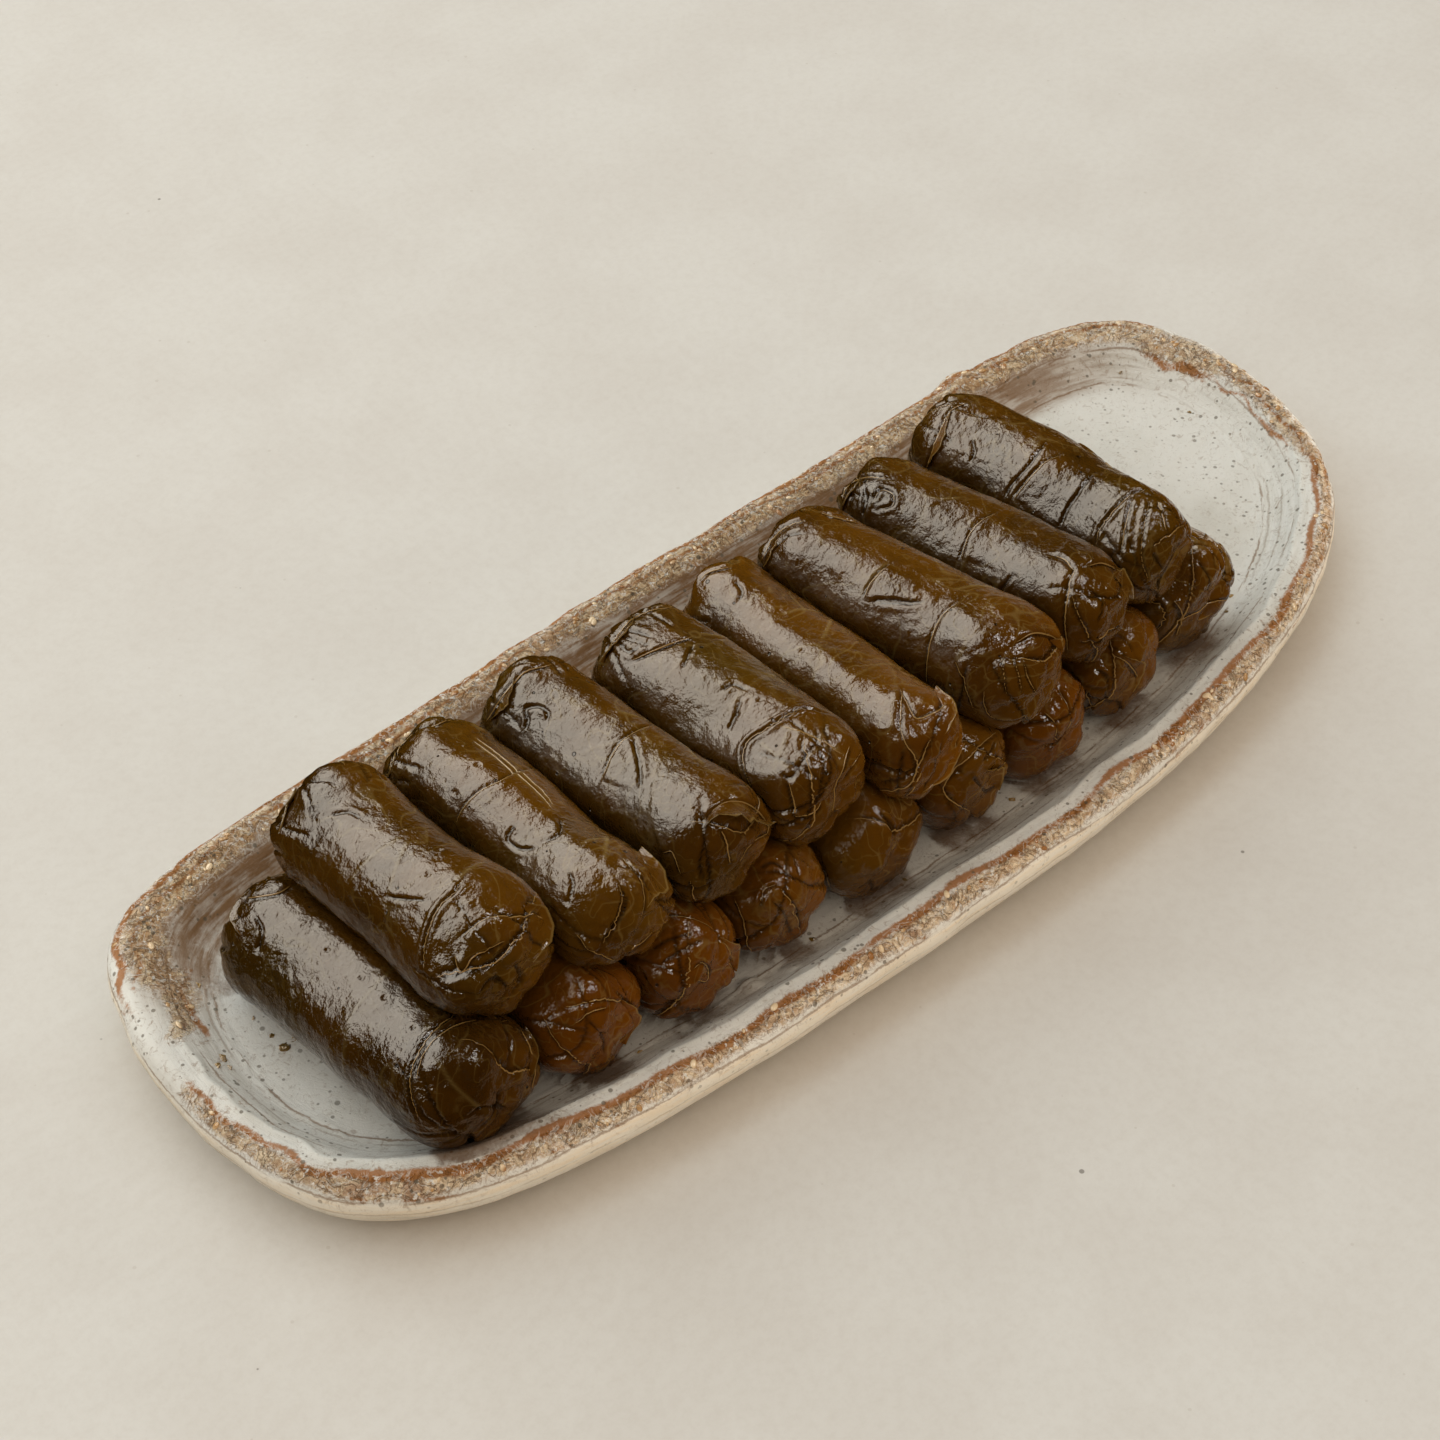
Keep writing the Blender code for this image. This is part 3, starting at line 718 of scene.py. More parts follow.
tree, given = new_geometry_tree("leaf_crumbs", "Flatness", "Raggedness", "Seed")
turn = vector_of(tree, 0.0, 0.0, random_number(tree, 0.0, math.tau, given["Seed"]))
flakes = lumps_on(
    tree, given["Geometry"], 3, turn, read_number(tree, "size"), CRUMB_LENGTH, given["Flatness"],
)
where = add_node(tree, "GeometryNodeInputPosition")[0]
shove = vector_math(tree, "SUBTRACT", noise(tree, where, 900.0, 2.0, output=1), (0.5, 0.5, 0.5))
shove = vector_math(tree, "SCALE", shove, given["Raggedness"])
crumb_tree = finish_tree(tree, shift_points(tree, flakes, shove), given)

crumb_leaf, tree, shader, place = new_material("crumb")
tint = blend(tree, spread(tree, noise(tree, place, 160.0), 0.4, 0.6), CRUMB_PALE, CRUMB_DARK)
set_inputs(tree, shader, {"Base Color": tint, "Roughness": 0.3})


def skin_of(mesh):
    """The faces of a mesh, ready to be met by rays."""
    return BVHTree.FromPolygons(
        [vertex.co for vertex in mesh.vertices], [face.vertices for face in mesh.polygons],
    )


floor_skin = skin_of(stoneware_dish.data)
spots, sizes = [], []
for across, down, size in CRUMBS:
    hit, _, _, _ = floor_skin.ray_cast(camera.location, picture_ray(across, down))
    if hit:
        spots.append(hit)
        sizes.append(CRUMB_HALF * size)
crumb_spots = bpy.data.meshes.new("leaf_crumbs")
crumb_spots.from_pydata(spots, [], [])
keep_values(crumb_spots, "size", sizes)
crumbs = stand("leaf_crumbs", crumb_spots)
grow(crumbs, crumb_tree, crumb_leaf, **{"Flatness": 0.35, "Raggedness": 1.1 * MM, "Seed": 9})
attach(crumbs, "root")


# The rolls. Each is a boiled vine leaf wrapped tightly round its filling and
# pressed by its neighbours, soft, and wet with oil and cooking juice.
ROLL_ROWS = 192
ROLL_COLUMNS = 224
PROBE_ROWS = 60
PROBE_COLUMNS = 72
END_DEPTH = 0.8
EASE_AROUND = 1.2
EASE_ALONG = 1.1
EASE_FINE = 1.6
UP = Vector((0, 0, 1))


def eased(values, rows, columns):
    """Softens a grid that closes round its columns, by bell-shaped averages."""
    for axis, width in ((1, columns), (0, rows)):
        reach = int(3 * width) + 1
        weights = np.exp(-0.5 * (np.arange(-reach, reach + 1) / width) ** 2)
        weights /= weights.sum()
        if axis:
            padded = np.concatenate([values[:, -reach:], values, values[:, :reach]], 1)
        else:
            padded = np.concatenate([values[reach:0:-1], values, values[-2:-reach - 2:-1]], 0)
        size = values.shape[axis]
        values = sum(w * np.take(padded, range(k, k + size), axis) for k, w in enumerate(weights))
    return values


def finer(values, rows, columns):
    """Reads a grid that closes round its columns at more rows and columns."""
    old_rows, old_columns = values.shape
    closed = np.concatenate([values, values[:, :1]], 1)
    at_column = np.arange(columns) / columns * old_columns
    wide = np.array([np.interp(at_column, np.arange(old_columns + 1), row) for row in closed])
    at_row = np.linspace(0, old_rows - 1, rows)
    return np.array([np.interp(at_row, np.arange(old_rows), column) for column in wide.T]).T


class Roll:
    """One wrapped roll, read from its plain solid: its axis and its smooth surface."""

    def __init__(self, node):
        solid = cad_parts[node].data
        corners = np.array([vertex.co for vertex in solid.vertices])
        middle = (corners.min(0) + corners.max(0)) / 2
        _, _, axes = np.linalg.svd(corners[:, :2] - corners[:, :2].mean(0), full_matrices=False)
        heading = Vector((*axes[0], 0.0)).normalized()
        if heading.y > 0:
            heading.negate()
        self.heading = np.array(heading)
        self.right = np.array(UP.cross(heading))
        along = (corners - middle) @ self.heading
        beside = (corners - middle) @ self.right
        self.centre = middle + self.heading * (along.max() + along.min()) / 2
        self.centre += self.right * (beside.max() + beside.min()) / 2
        self.half = (along.max() - along.min()) / 2
        self.radius = (corners[:, 2].max() - corners[:, 2].min()) / 2
        self.body_half = self.half - END_DEPTH * self.radius
        arc = END_DEPTH * self.radius * math.pi / 2
        self.cap_share = arc / (arc + self.body_half)
        reach = eased(finer(self.probe(solid), ROLL_ROWS, ROLL_COLUMNS), EASE_FINE, EASE_FINE)
        origin, self.out, self.tilt = self.directions(ROLL_ROWS, ROLL_COLUMNS)
        self.points = origin + self.out * reach[..., None]
        self.along = (self.points - self.centre) @ self.heading
        grid = np.arange(reach.size).reshape(reach.shape)
        self.skin = BVHTree.FromPolygons(self.points.reshape(-1, 3).tolist(), quad_rows(grid).tolist())

    def directions(self, rows, columns):
        """For a grid: places on the axis, directions out from it, and their tilt."""
        run = np.linspace(-1, 1, rows)
        tilt = np.clip((np.abs(run) - (1 - self.cap_share)) / self.cap_share, 0, 1) * math.pi / 2
        tilt *= np.sign(run)
        start = np.clip(run / (1 - self.cap_share), -1, 1) * self.body_half
        around = np.arange(columns) / columns * math.tau
        radial = np.cos(around)[:, None] * self.right + np.sin(around)[:, None] * np.array(UP)
        out = np.cos(tilt)[:, None, None] * radial + np.sin(tilt)[:, None, None] * self.heading
        origin = (self.centre + start[:, None] * self.heading)[:, None, :]
        return origin, out, tilt

    def probe(self, solid):
        """Measures how far the solid reaches from its axis, smoothed over its flat faces."""
        shell = skin_of(solid)
        origin, out, _ = self.directions(PROBE_ROWS, PROBE_COLUMNS)
        reach = np.full((PROBE_ROWS, PROBE_COLUMNS), self.radius)
        for row, column in np.ndindex(PROBE_ROWS, PROBE_COLUMNS):
            hit, _, _, distance = shell.ray_cast(Vector(origin[row, 0]), Vector(out[row, column]))
            if hit:
                reach[row, column] = distance
        return eased(reach, EASE_ALONG, EASE_AROUND)

    def seen_line(self, places):
        """The line on the surface that the picture shows through a few places."""
        places = np.array(places, float)
        line = []
        steps = even_steps(places, max(2, int(np.linalg.norm(np.diff(places, axis=0), axis=1).sum() / 1.5)))
        for across, down in steps:
            hit, _, _, _ = self.skin.ray_cast(camera.location, picture_ray(across, down))
            if hit:
                line.append(hit)
        return np.array(line)

    def wrapped_line(self, run, around):
        """A line on the surface through places given along the roll and round it."""
        steps = even_steps(np.stack([run, around], 1), 60)
        row = np.clip((steps[:, 0] + 1) / 2 * (ROLL_ROWS - 1), 0, ROLL_ROWS - 1).astype(int)
        column = (steps[:, 1] / math.tau * ROLL_COLUMNS).astype(int) % ROLL_COLUMNS
        return self.points[row, column]


# Marks of a leaf, by kind: how thick the bead of its rolled edge or rib is, and
# whether the mark is hollow, with shade painted along its hollow, or paler than the leaf
BEADS = {"edge": 0.17 * MM, "stem": 0.16 * MM, "fold": 0.13 * MM}
HOLLOW_MARKS = ("edge", "fold", "crease")
PALE_MARKS = ("vein", "stem")


class Relief:
    """Height, paleness and painted shade that the marks of a leaf add to one roll."""

    def __init__(self, roll):
        self.flat = roll.points.reshape(-1, 3)
        self.normal = roll.out.reshape(-1, 3)
        self.height, self.pale, self.dark = np.zeros((3, len(self.flat)))
        self.beads = []

    def near(self, line, catch):
        """Points close to a line: their numbers, signed distances and fade past its ends."""
        low, high = line.min(0) - catch, line.max(0) + catch
        chosen = np.nonzero(((self.flat > low) & (self.flat < high)).all(1))[0]
        if not len(chosen):
            return chosen, None, None
        tangent = np.gradient(line, axis=0)
        tangent /= np.linalg.norm(tangent, axis=1)[:, None] + 1e-9
        gap = self.flat[chosen][:, None, :] - line[None]
        nearest = (gap ** 2).sum(-1).argmin(1)
        gap = gap[np.arange(len(chosen)), nearest]
        ahead = tangent[nearest]
        over = np.where((nearest == 0) | (nearest == len(line) - 1), np.abs((gap * ahead).sum(1)), 0.0)
        side = np.cross(self.normal[chosen], ahead)
        signed = (gap * side).sum(1)
        away = np.abs((gap * self.normal[chosen]).sum(1))
        fade = ridge(over, 0, 1.2 * MM) * (away < 4 * MM)
        place = nearest / max(1, len(line) - 1)
        fade = fade * np.clip(np.minimum(place, 1 - place) / 0.08, 0.25, 1)
        return chosen, signed / MM, fade

    def add(self, kind, line, strength=1.0, bead=True):
        """Works one mark into the surface; its raised side is on the left of the line."""
        if len(line) < 3:
            return
        chosen, side, fade = self.near(line, 12 * MM if kind == "edge" else 3 * MM)
        if side is None:
            return
        if kind == "edge":
            step = 0.5 * (1 + np.tanh(side / 0.22)) * np.exp(-np.maximum(side, 0) / 7.0)
            shape = 0.55 * step - 0.30 * ridge(side, -0.45, 0.40)
        elif kind == "fold":
            shape = 0.42 * ridge(np.abs(side), 0.75, 0.42) - 0.42 * ridge(side, 0, 0.34)
        elif kind == "crease":
            shape = 0.16 * ridge(np.abs(side), 0.9, 0.5) - 0.45 * ridge(side, 0, 0.36)
        else:
            shape = 0.16 * ridge(side, 0, 0.34)
        self.height[chosen] += shape * fade * strength * MM
        # Painted shade: the hollow beside an edge and along a fold or crease is painted darker
        if kind in HOLLOW_MARKS:
            hollow = ridge(side, -0.42 if kind == "edge" else 0, 0.30) * fade * min(1.0, strength)
            self.dark[chosen] = np.maximum(self.dark[chosen], hollow)
        if kind in PALE_MARKS:
            self.pale[chosen] = np.maximum(self.pale[chosen], ridge(side, 0, 0.30) * fade * strength)
        if kind in BEADS and bead:
            self.beads.append((line, BEADS[kind]))

    def pit(self, point, size=0.6):
        """A small hollow with a raised lip."""
        away = np.linalg.norm(self.flat - np.array(point), axis=1) / (size * MM)
        self.height += (0.22 * ridge(away, 1.5, 0.45) - 0.7 * ridge(away, 0, 0.8)) * size * MM


# Marks of each leaf as the picture shows them. Every mark is its kind and a
# few places, across and down in the picture; a pit has one place.
MARKS = {
    "dolma_floor_1": (
        ("fold", (480, 1008), (455, 1015), (430, 1035), (413, 1065), (410, 1090), (418, 1118)),
        ("edge", (508, 1022), (475, 1021), (445, 1033), (426, 1053), (416, 1080)),
        ("vein", (393, 968), (370, 992), (352, 1015), (345, 1045), (345, 1070), (352, 1085)),
        ("edge", (520, 1030), (530, 1050), (534, 1070), (530, 1088)),
        ("vein", (436, 1057), (450, 1080), (465, 1095), (480, 1107)),
        ("crease", (465, 1112), (485, 1104), (505, 1108)),
        ("crease", (480, 1124), (492, 1110), (498, 1092)),
        ("edge", (248, 898), (262, 896), (278, 893), (290, 886)),
        ("vein", (262, 880), (280, 874), (298, 877)),
        ("crease", (255, 915), (262, 930), (258, 950)),
        ("pit", (384, 998)), ("pit", (362, 978)), ("pit", (328, 950)), ("pit", (413, 1028)),
    ),
    "dolma_top_1": (
        ("fold", (463, 880), (455, 892), (440, 906), (430, 926), (424, 950), (424, 970)),
        ("edge", (552, 938), (535, 919), (505, 918), (480, 925), (462, 940)),
        ("edge", (455, 955), (462, 972), (470, 958), (488, 948), (505, 940)),
        ("vein", (350, 882), (362, 866), (380, 850), (402, 837)),
        ("vein", (388, 895), (396, 868), (408, 840)),
        ("crease", (388, 897), (405, 899), (425, 900)),
        ("vein", (484, 862), (468, 870), (455, 882)),
        ("vein", (376, 780), (402, 787), (422, 804), (445, 823), (462, 842)),
        ("crease", (478, 990), (490, 977), (504, 984), (500, 998)),
        ("crease", (512, 962), (520, 980), (512, 995)),
        ("pit", (440, 850)), ("pit", (428, 875)), ("pit", (495, 985)),
        ("crease", (330, 815), (348, 812), (362, 818)),
    ),
    "dolma_top_2": (
        ("stem", (473, 741), (500, 762), (520, 780), (540, 797), (551, 809)),
        ("stem", (476, 738), (503, 759), (523, 777), (543, 794), (553, 806)),
        ("edge", (541, 768), (517, 774), (500, 783), (480, 793), (465, 808), (457, 823)),
        ("crease", (516, 825), (508, 839), (520, 849), (535, 848)),
        ("crease", (545, 841), (556, 837), (561, 830), (560, 820)),
        ("crease", (569, 872), (573, 884), (570, 898)),
        ("pit", (567, 902)),
        ("vein", (606, 836), (606, 848), (604, 860)),
        ("vein", (584, 843), (596, 840), (608, 840)),
        ("edge", (663, 874), (648, 866), (630, 854), (612, 839)),
        ("fold", (622, 858), (634, 874), (642, 892), (640, 915)),
        ("fold", (603, 944), (616, 922), (622, 900), (618, 882)),
        ("crease", (612, 930), (622, 912), (626, 895)),
        ("edge", (576, 934), (592, 950), (612, 955), (634, 944), (650, 930)),
        ("edge", (387, 779), (397, 757), (411, 737), (440, 724), (466, 716), (492, 722)),
        ("pit", (455, 792)), ("pit", (478, 765)),
    ),
    "dolma_top_3": (
        ("edge", (655, 726), (640, 731), (625, 740), (615, 752), (607, 770), (602, 782)),
        ("crease", (633, 740), (638, 757), (640, 772), (641, 788)),
        ("crease", (523, 709), (538, 706), (548, 712), (547, 720)),
        ("crease", (525, 710), (528, 720), (525, 730)),
        ("edge", (703, 822), (714, 808), (730, 801), (748, 804), (762, 817), (768, 832), (752, 842),
         (734, 860)),
        ("edge", (720, 826), (727, 842), (729, 860)),
        ("crease", (706, 836), (700, 860), (702, 880)),
        ("edge", (691, 880), (700, 898), (720, 905), (745, 896)),
        ("edge", (662, 852), (673, 851), (681, 874)),
        ("edge", (487, 721), (500, 700), (514, 683), (527, 671), (552, 665)),
        ("vein", (620, 712), (650, 722), (680, 742), (705, 768)),
        ("crease", (590, 682), (600, 686), (607, 684)),
    ),
    "dolma_top_4": (
        ("fold", (755, 796), (744, 768), (746, 744), (766, 729), (786, 716), (802, 709), (825, 713)),
        ("edge", (825, 815), (850, 804), (866, 788), (875, 762), (868, 742), (848, 724)),
        ("stem", (780, 726), (797, 731), (817, 739), (840, 755)),
        ("vein", (789, 730), (781, 750), (773, 771)),
        ("vein", (760, 742), (774, 754), (788, 768)),
        ("crease", (816, 741), (802, 762), (790, 778), (780, 772)),
        ("edge", (789, 780), (793, 800), (797, 815), (812, 811), (820, 800)),
        ("edge", (824, 818), (834, 790), (840, 765), (847, 746)),
        ("edge", (842, 778), (850, 764), (858, 752)),
        ("crease", (629, 632), (640, 634), (651, 638)),
        ("edge", (632, 660), (650, 652), (672, 643), (692, 637)),
        ("crease", (693, 646), (688, 656), (683, 668)),
        ("crease", (722, 690), (733, 684), (746, 690)),
        ("crease", (741, 700), (736, 714), (729, 730)),
        ("edge", (600, 662), (615, 640), (630, 622), (652, 611), (682, 608)),
        ("vein", (700, 634), (724, 638), (748, 652)),
        ("crease", (618, 640), (628, 652), (640, 648)), ("pit", (738, 714)), ("pit", (760, 700)),
    ),
    "dolma_top_5": (
        ("edge", (898, 732), (899, 712), (899, 692)),
        ("edge", (950, 702), (934, 714), (917, 720), (908, 710), (899, 690)),
        ("vein", (780, 616), (800, 610), (822, 612)),
        ("vein", (822, 640), (828, 628), (832, 616)),
        ("edge", (930, 738), (918, 768), (906, 798)),
        ("fold", (958, 734), (952, 762), (940, 786), (925, 800)),
        ("crease", (904, 748), (899, 775), (897, 800)),
        ("crease", (938, 742), (930, 766), (922, 786)),
        ("edge", (699, 582), (710, 572), (730, 567)),
        ("crease", (735, 582), (742, 592), (740, 602)), ("pit", (803, 652)),
    ),
    "dolma_top_6": (
        ("edge", (890, 568), (876, 583), (866, 599)),
        ("vein", (886, 565), (872, 580), (862, 595)),
        ("crease", (873, 601), (892, 601), (908, 603), (925, 605)),
        ("crease", (880, 604), (900, 605), (918, 607)),
        ("edge", (961, 604), (946, 618), (933, 640), (928, 662), (927, 682)),
        ("edge", (762, 560), (772, 541), (786, 528), (806, 521)),
        ("crease", (776, 550), (787, 540), (803, 536)),
        ("edge", (820, 513), (838, 518), (857, 523)),
        ("edge", (1015, 642), (1034, 633), (1053, 637), (1066, 649), (1072, 668)),
        ("fold", (1000, 658), (1004, 676), (1006, 694)),
        ("fold", (1012, 660), (1018, 676), (1021, 690)),
        ("fold", (1022, 662), (1028, 678), (1034, 692)),
        ("edge", (957, 660), (966, 682), (974, 708)),
        ("crease", (968, 666), (962, 690), (956, 712)),
        ("edge", (985, 690), (990, 714), (1012, 718), (1040, 709), (1060, 690)),
        ("crease", (1052, 640), (1058, 648), (1066, 654)),
        ("vein", (955, 590), (980, 586), (1010, 592)),
    ),
    "dolma_top_7": (
        ("edge", (996, 514), (981, 524), (970, 540), (962, 560)),
        ("vein", (974, 545), (966, 560), (960, 574)),
        ("fold", (874, 500), (882, 491), (893, 495), (893, 506), (882, 509)),
        ("crease", (866, 488), (866, 502), (862, 516)),
        ("edge", (1078, 566), (1070, 590), (1066, 618), (1068, 650)),
        ("edge", (1086, 566), (1102, 563), (1118, 572), (1130, 590), (1132, 606)),
        ("crease", (1012, 576), (1004, 586), (998, 592)),
        ("edge", (1055, 556), (1066, 560), (1076, 572)),
        ("vein", (920, 496), (940, 500), (962, 498)),
        ("crease", (1088, 590), (1100, 600), (1096, 622)),
        ("edge", (1080, 640), (1098, 636), (1115, 622)),
        ("edge", (842, 500), (848, 486), (866, 478), (888, 479)),
    ),
    "dolma_top_8": (
        ("edge", (1188, 520), (1150, 492), (1105, 463), (1060, 440), (1015, 421), (985, 419), (960, 412)),
        ("crease", (1046, 442), (1030, 464), (1012, 484), (1004, 498)),
        ("edge", (1066, 456), (1046, 464), (1028, 482), (1014, 500)),
        ("crease", (1093, 474), (1081, 490), (1067, 510), (1060, 528)),
        ("fold", (1148, 491), (1130, 496), (1111, 514), (1099, 530), (1096, 546)),
        ("fold", (1132, 500), (1125, 528), (1121, 556)),
        ("fold", (1150, 500), (1144, 526), (1141, 556), (1148, 580)),
        ("edge", (1158, 502), (1163, 516), (1166, 532)),
        ("edge", (1190, 523), (1173, 532), (1152, 548)),
        ("crease", (1178, 540), (1168, 560), (1160, 580)),
        ("edge", (1190, 530), (1194, 552), (1186, 580), (1170, 592)),
        ("edge", (925, 472), (936, 440), (950, 412), (968, 402)),
        ("crease", (972, 440), (975, 452), (970, 462)),
        ("crease", (1152, 552), (1160, 570), (1158, 590)),
    ),
    "dolma_floor_2": (
        ("edge", (565, 1006), (588, 1000), (610, 998), (626, 1003), (632, 1018)),
        ("edge", (575, 1022), (590, 1010), (606, 1006)),
        ("fold", (612, 992), (628, 1008), (632, 1030), (622, 1052)),
        ("crease", (588, 1020), (600, 1034), (602, 1050)),
        ("fold", (556, 1078), (576, 1086), (598, 1074)),
    ),
    "dolma_floor_3": (
        ("edge", (735, 962), (716, 938), (692, 920), (662, 918), (640, 926)),
        ("crease", (660, 964), (680, 951), (700, 940)),
        ("crease", (652, 950), (668, 940), (690, 934)),
        ("fold", (692, 968), (700, 962), (708, 970), (704, 980), (694, 978)),
        ("fold", (728, 956), (733, 975), (728, 995)),
    ),
    "dolma_floor_4": (
        ("edge", (735, 898), (744, 920), (752, 948), (775, 956)),
        ("fold", (760, 906), (765, 890), (777, 884)),
        ("crease", (772, 900), (784, 914), (790, 932)),
        ("edge", (798, 930), (790, 905), (778, 888)),
        ("crease", (760, 868), (772, 862), (784, 868)),
    ),
    "dolma_floor_5": (
        ("edge", (826, 872), (834, 890), (846, 900), (868, 902)),
        ("crease", (858, 884), (870, 880), (872, 892)),
        ("crease", (880, 812), (890, 822), (896, 836)),
    ),
    "dolma_floor_6": (
        ("edge", (970, 812), (952, 802), (942, 786), (958, 766), (978, 746), (996, 732)),
        ("fold", (994, 730), (1003, 748), (1002, 772)),
        ("crease", (972, 776), (984, 790), (1000, 782)),
        ("crease", (980, 760), (990, 752), (996, 742)),
    ),
    "dolma_floor_7": (
        ("fold", (1058, 688), (1066, 708), (1062, 734), (1048, 748)),
        ("edge", (1044, 712), (1055, 722), (1056, 740)),
        ("crease", (1080, 690), (1092, 704), (1090, 726)),
    ),
    "dolma_floor_8": (
        ("edge", (1112, 652), (1126, 660), (1136, 676), (1130, 690)),
        ("crease", (1096, 668), (1108, 680), (1104, 700)),
        ("fold", (1086, 690), (1090, 710), (1082, 726)),
    ),
    "dolma_floor_9": (
        ("fold", (1150, 602), (1160, 604), (1165, 618), (1158, 630)),
        ("edge", (1174, 600), (1182, 616), (1176, 636)),
        ("edge", (1212, 542), (1224, 562), (1233, 590)),
        ("crease", (1196, 560), (1206, 580), (1200, 600)),
        ("crease", (1136, 612), (1142, 628), (1150, 638)),
        ("edge", (1224, 596), (1200, 606), (1180, 622)),
    ),
}


# Corners and flaps of leaf that stand off a roll. Each has its reach and lift in
# mm and the line that it springs from, in picture places; it lies to the left of
# that line.
FLAPS = {
    "dolma_floor_1": (
        (2.2, 0.9, (522, 1030), (530, 1052), (527, 1082)), (1.8, 0.7, (243, 935), (238, 912), (252, 892)),
    ),
    "dolma_top_1": (
        (4.2, 1.4, (522, 906), (535, 926), (528, 958)), (2.6, 0.9, (300, 790), (285, 812), (282, 840)),
    ),
    "dolma_top_2": (
        (4.0, 1.2, (638, 852), (650, 874), (642, 906)), (2.4, 0.8, (412, 730), (398, 752), (388, 778)),
    ),
    "dolma_top_3": (
        (6.0, 2.6, (764, 822), (742, 801), (712, 808), (702, 832)),
        (2.6, 1.0, (516, 680), (500, 704), (490, 726)),
    ),
    "dolma_top_4": (
        (2.6, 1.2, (866, 745), (876, 768), (868, 792)), (2.4, 0.9, (636, 618), (614, 640), (602, 664)),
    ),
    "dolma_top_5": (
        (2.4, 0.9, (934, 690), (944, 712), (934, 744)), (3.4, 1.0, (960, 742), (936, 770), (912, 798)),
    ),
    "dolma_top_6": (
        (1.6, 0.6, (1050, 640), (1066, 660), (1064, 690)), (2.2, 0.8, (790, 528), (772, 545), (766, 566)),
    ),
    "dolma_top_7": (
        (3.0, 1.2, (1112, 572), (1128, 598), (1120, 628)), (2.0, 0.8, (862, 480), (846, 496), (842, 514)),
    ),
    "dolma_top_8": (
        (1.4, 0.5, (1176, 518), (1190, 544), (1182, 576)), (2.6, 1.0, (952, 408), (936, 436), (926, 470)),
    ),
    "dolma_floor_2": ((2.4, 0.9, (618, 1000), (628, 1020), (620, 1046)),),
    "dolma_floor_3": ((2.2, 0.9, (716, 938), (732, 958), (730, 984)),),
    "dolma_floor_6": ((3.4, 1.4, (982, 768), (994, 788), (986, 812)),),
    "dolma_floor_8": ((3.0, 1.2, (1120, 654), (1132, 674), (1126, 696)),),
    "dolma_floor_9": (
        (1.5, 0.6, (1204, 536), (1222, 560), (1230, 592)), (2.2, 1.0, (1226, 592), (1206, 606), (1184, 620)),
    ),
}
FLAP_STEPS = 14
LEAF_THICKNESS = 0.35 * MM


def flap_mesh(roll, name, flaps, draw):
    """Thin sheets that spring from lines on a roll and lift off it, widest midway."""
    corners, faces, pale = [], [], []
    for reach, lift, *places in flaps:
        line = roll.seen_line(places)
        if len(line) < 4:
            continue
        line = even_steps(line[::max(1, len(line) // 6)], FLAP_STEPS)
        tangent = np.gradient(line, axis=0)
        tangent /= np.linalg.norm(tangent, axis=1)[:, None]
        sheet = np.zeros((2, FLAP_STEPS, FLAP_STEPS, 3))
        for k, (spot, ahead) in enumerate(zip(line, tangent)):
            _, normal, _, _ = roll.skin.find_nearest(Vector(spot))
            normal = np.array(normal) * (1 if normal.dot(Vector(spot - roll.centre)) > 0 else -1)
            side = np.cross(normal, ahead)
            share = k / (FLAP_STEPS - 1)
            length = reach * MM * (1 - abs(2 * share - 1) ** 1.3) * (1 + 0.15 * draw.uniform(-1, 1))
            for m in range(FLAP_STEPS):
                out = m / (FLAP_STEPS - 1)
                rise = (0.1 + lift * out ** 1.4) * MM
                sheet[1, k, m] = spot + side * length * out + normal * rise
                sheet[0, k, m] = sheet[1, k, m] - normal * LEAF_THICKNESS
        grid = len(corners) + np.arange(2 * FLAP_STEPS ** 2).reshape(2, FLAP_STEPS, FLAP_STEPS)
        corners += sheet.reshape(-1, 3).tolist()
        # Painted highlight: the outer edge of each flap is painted pale, where the edge catches light
        pale += ([0.0] * (FLAP_STEPS - 2) + [1.0] * 2) * (2 * FLAP_STEPS)
        for layer, step in ((0, 1), (1, -1)):
            g = grid[layer]
            quads = np.stack([g[:-1, :-1], g[:-1, 1:], g[1:, 1:], g[1:, :-1]], -1).reshape(-1, 4)
            faces += quads[:, ::step].tolist()
        rim = np.stack([np.concatenate([g[0, :-1], g[:-1, -1], g[-1, :0:-1], g[:0:-1, 0]]) for g in grid])
        beside = np.roll(rim, -1, 1)
        faces += np.stack([rim[0], rim[1], beside[1], beside[0]], -1).tolist()
    mesh = bpy.data.meshes.new(name)
    mesh.from_pydata(corners, [], faces)
    keep_values(mesh, "pale", pale)
    mesh.shade_smooth()
    return mesh


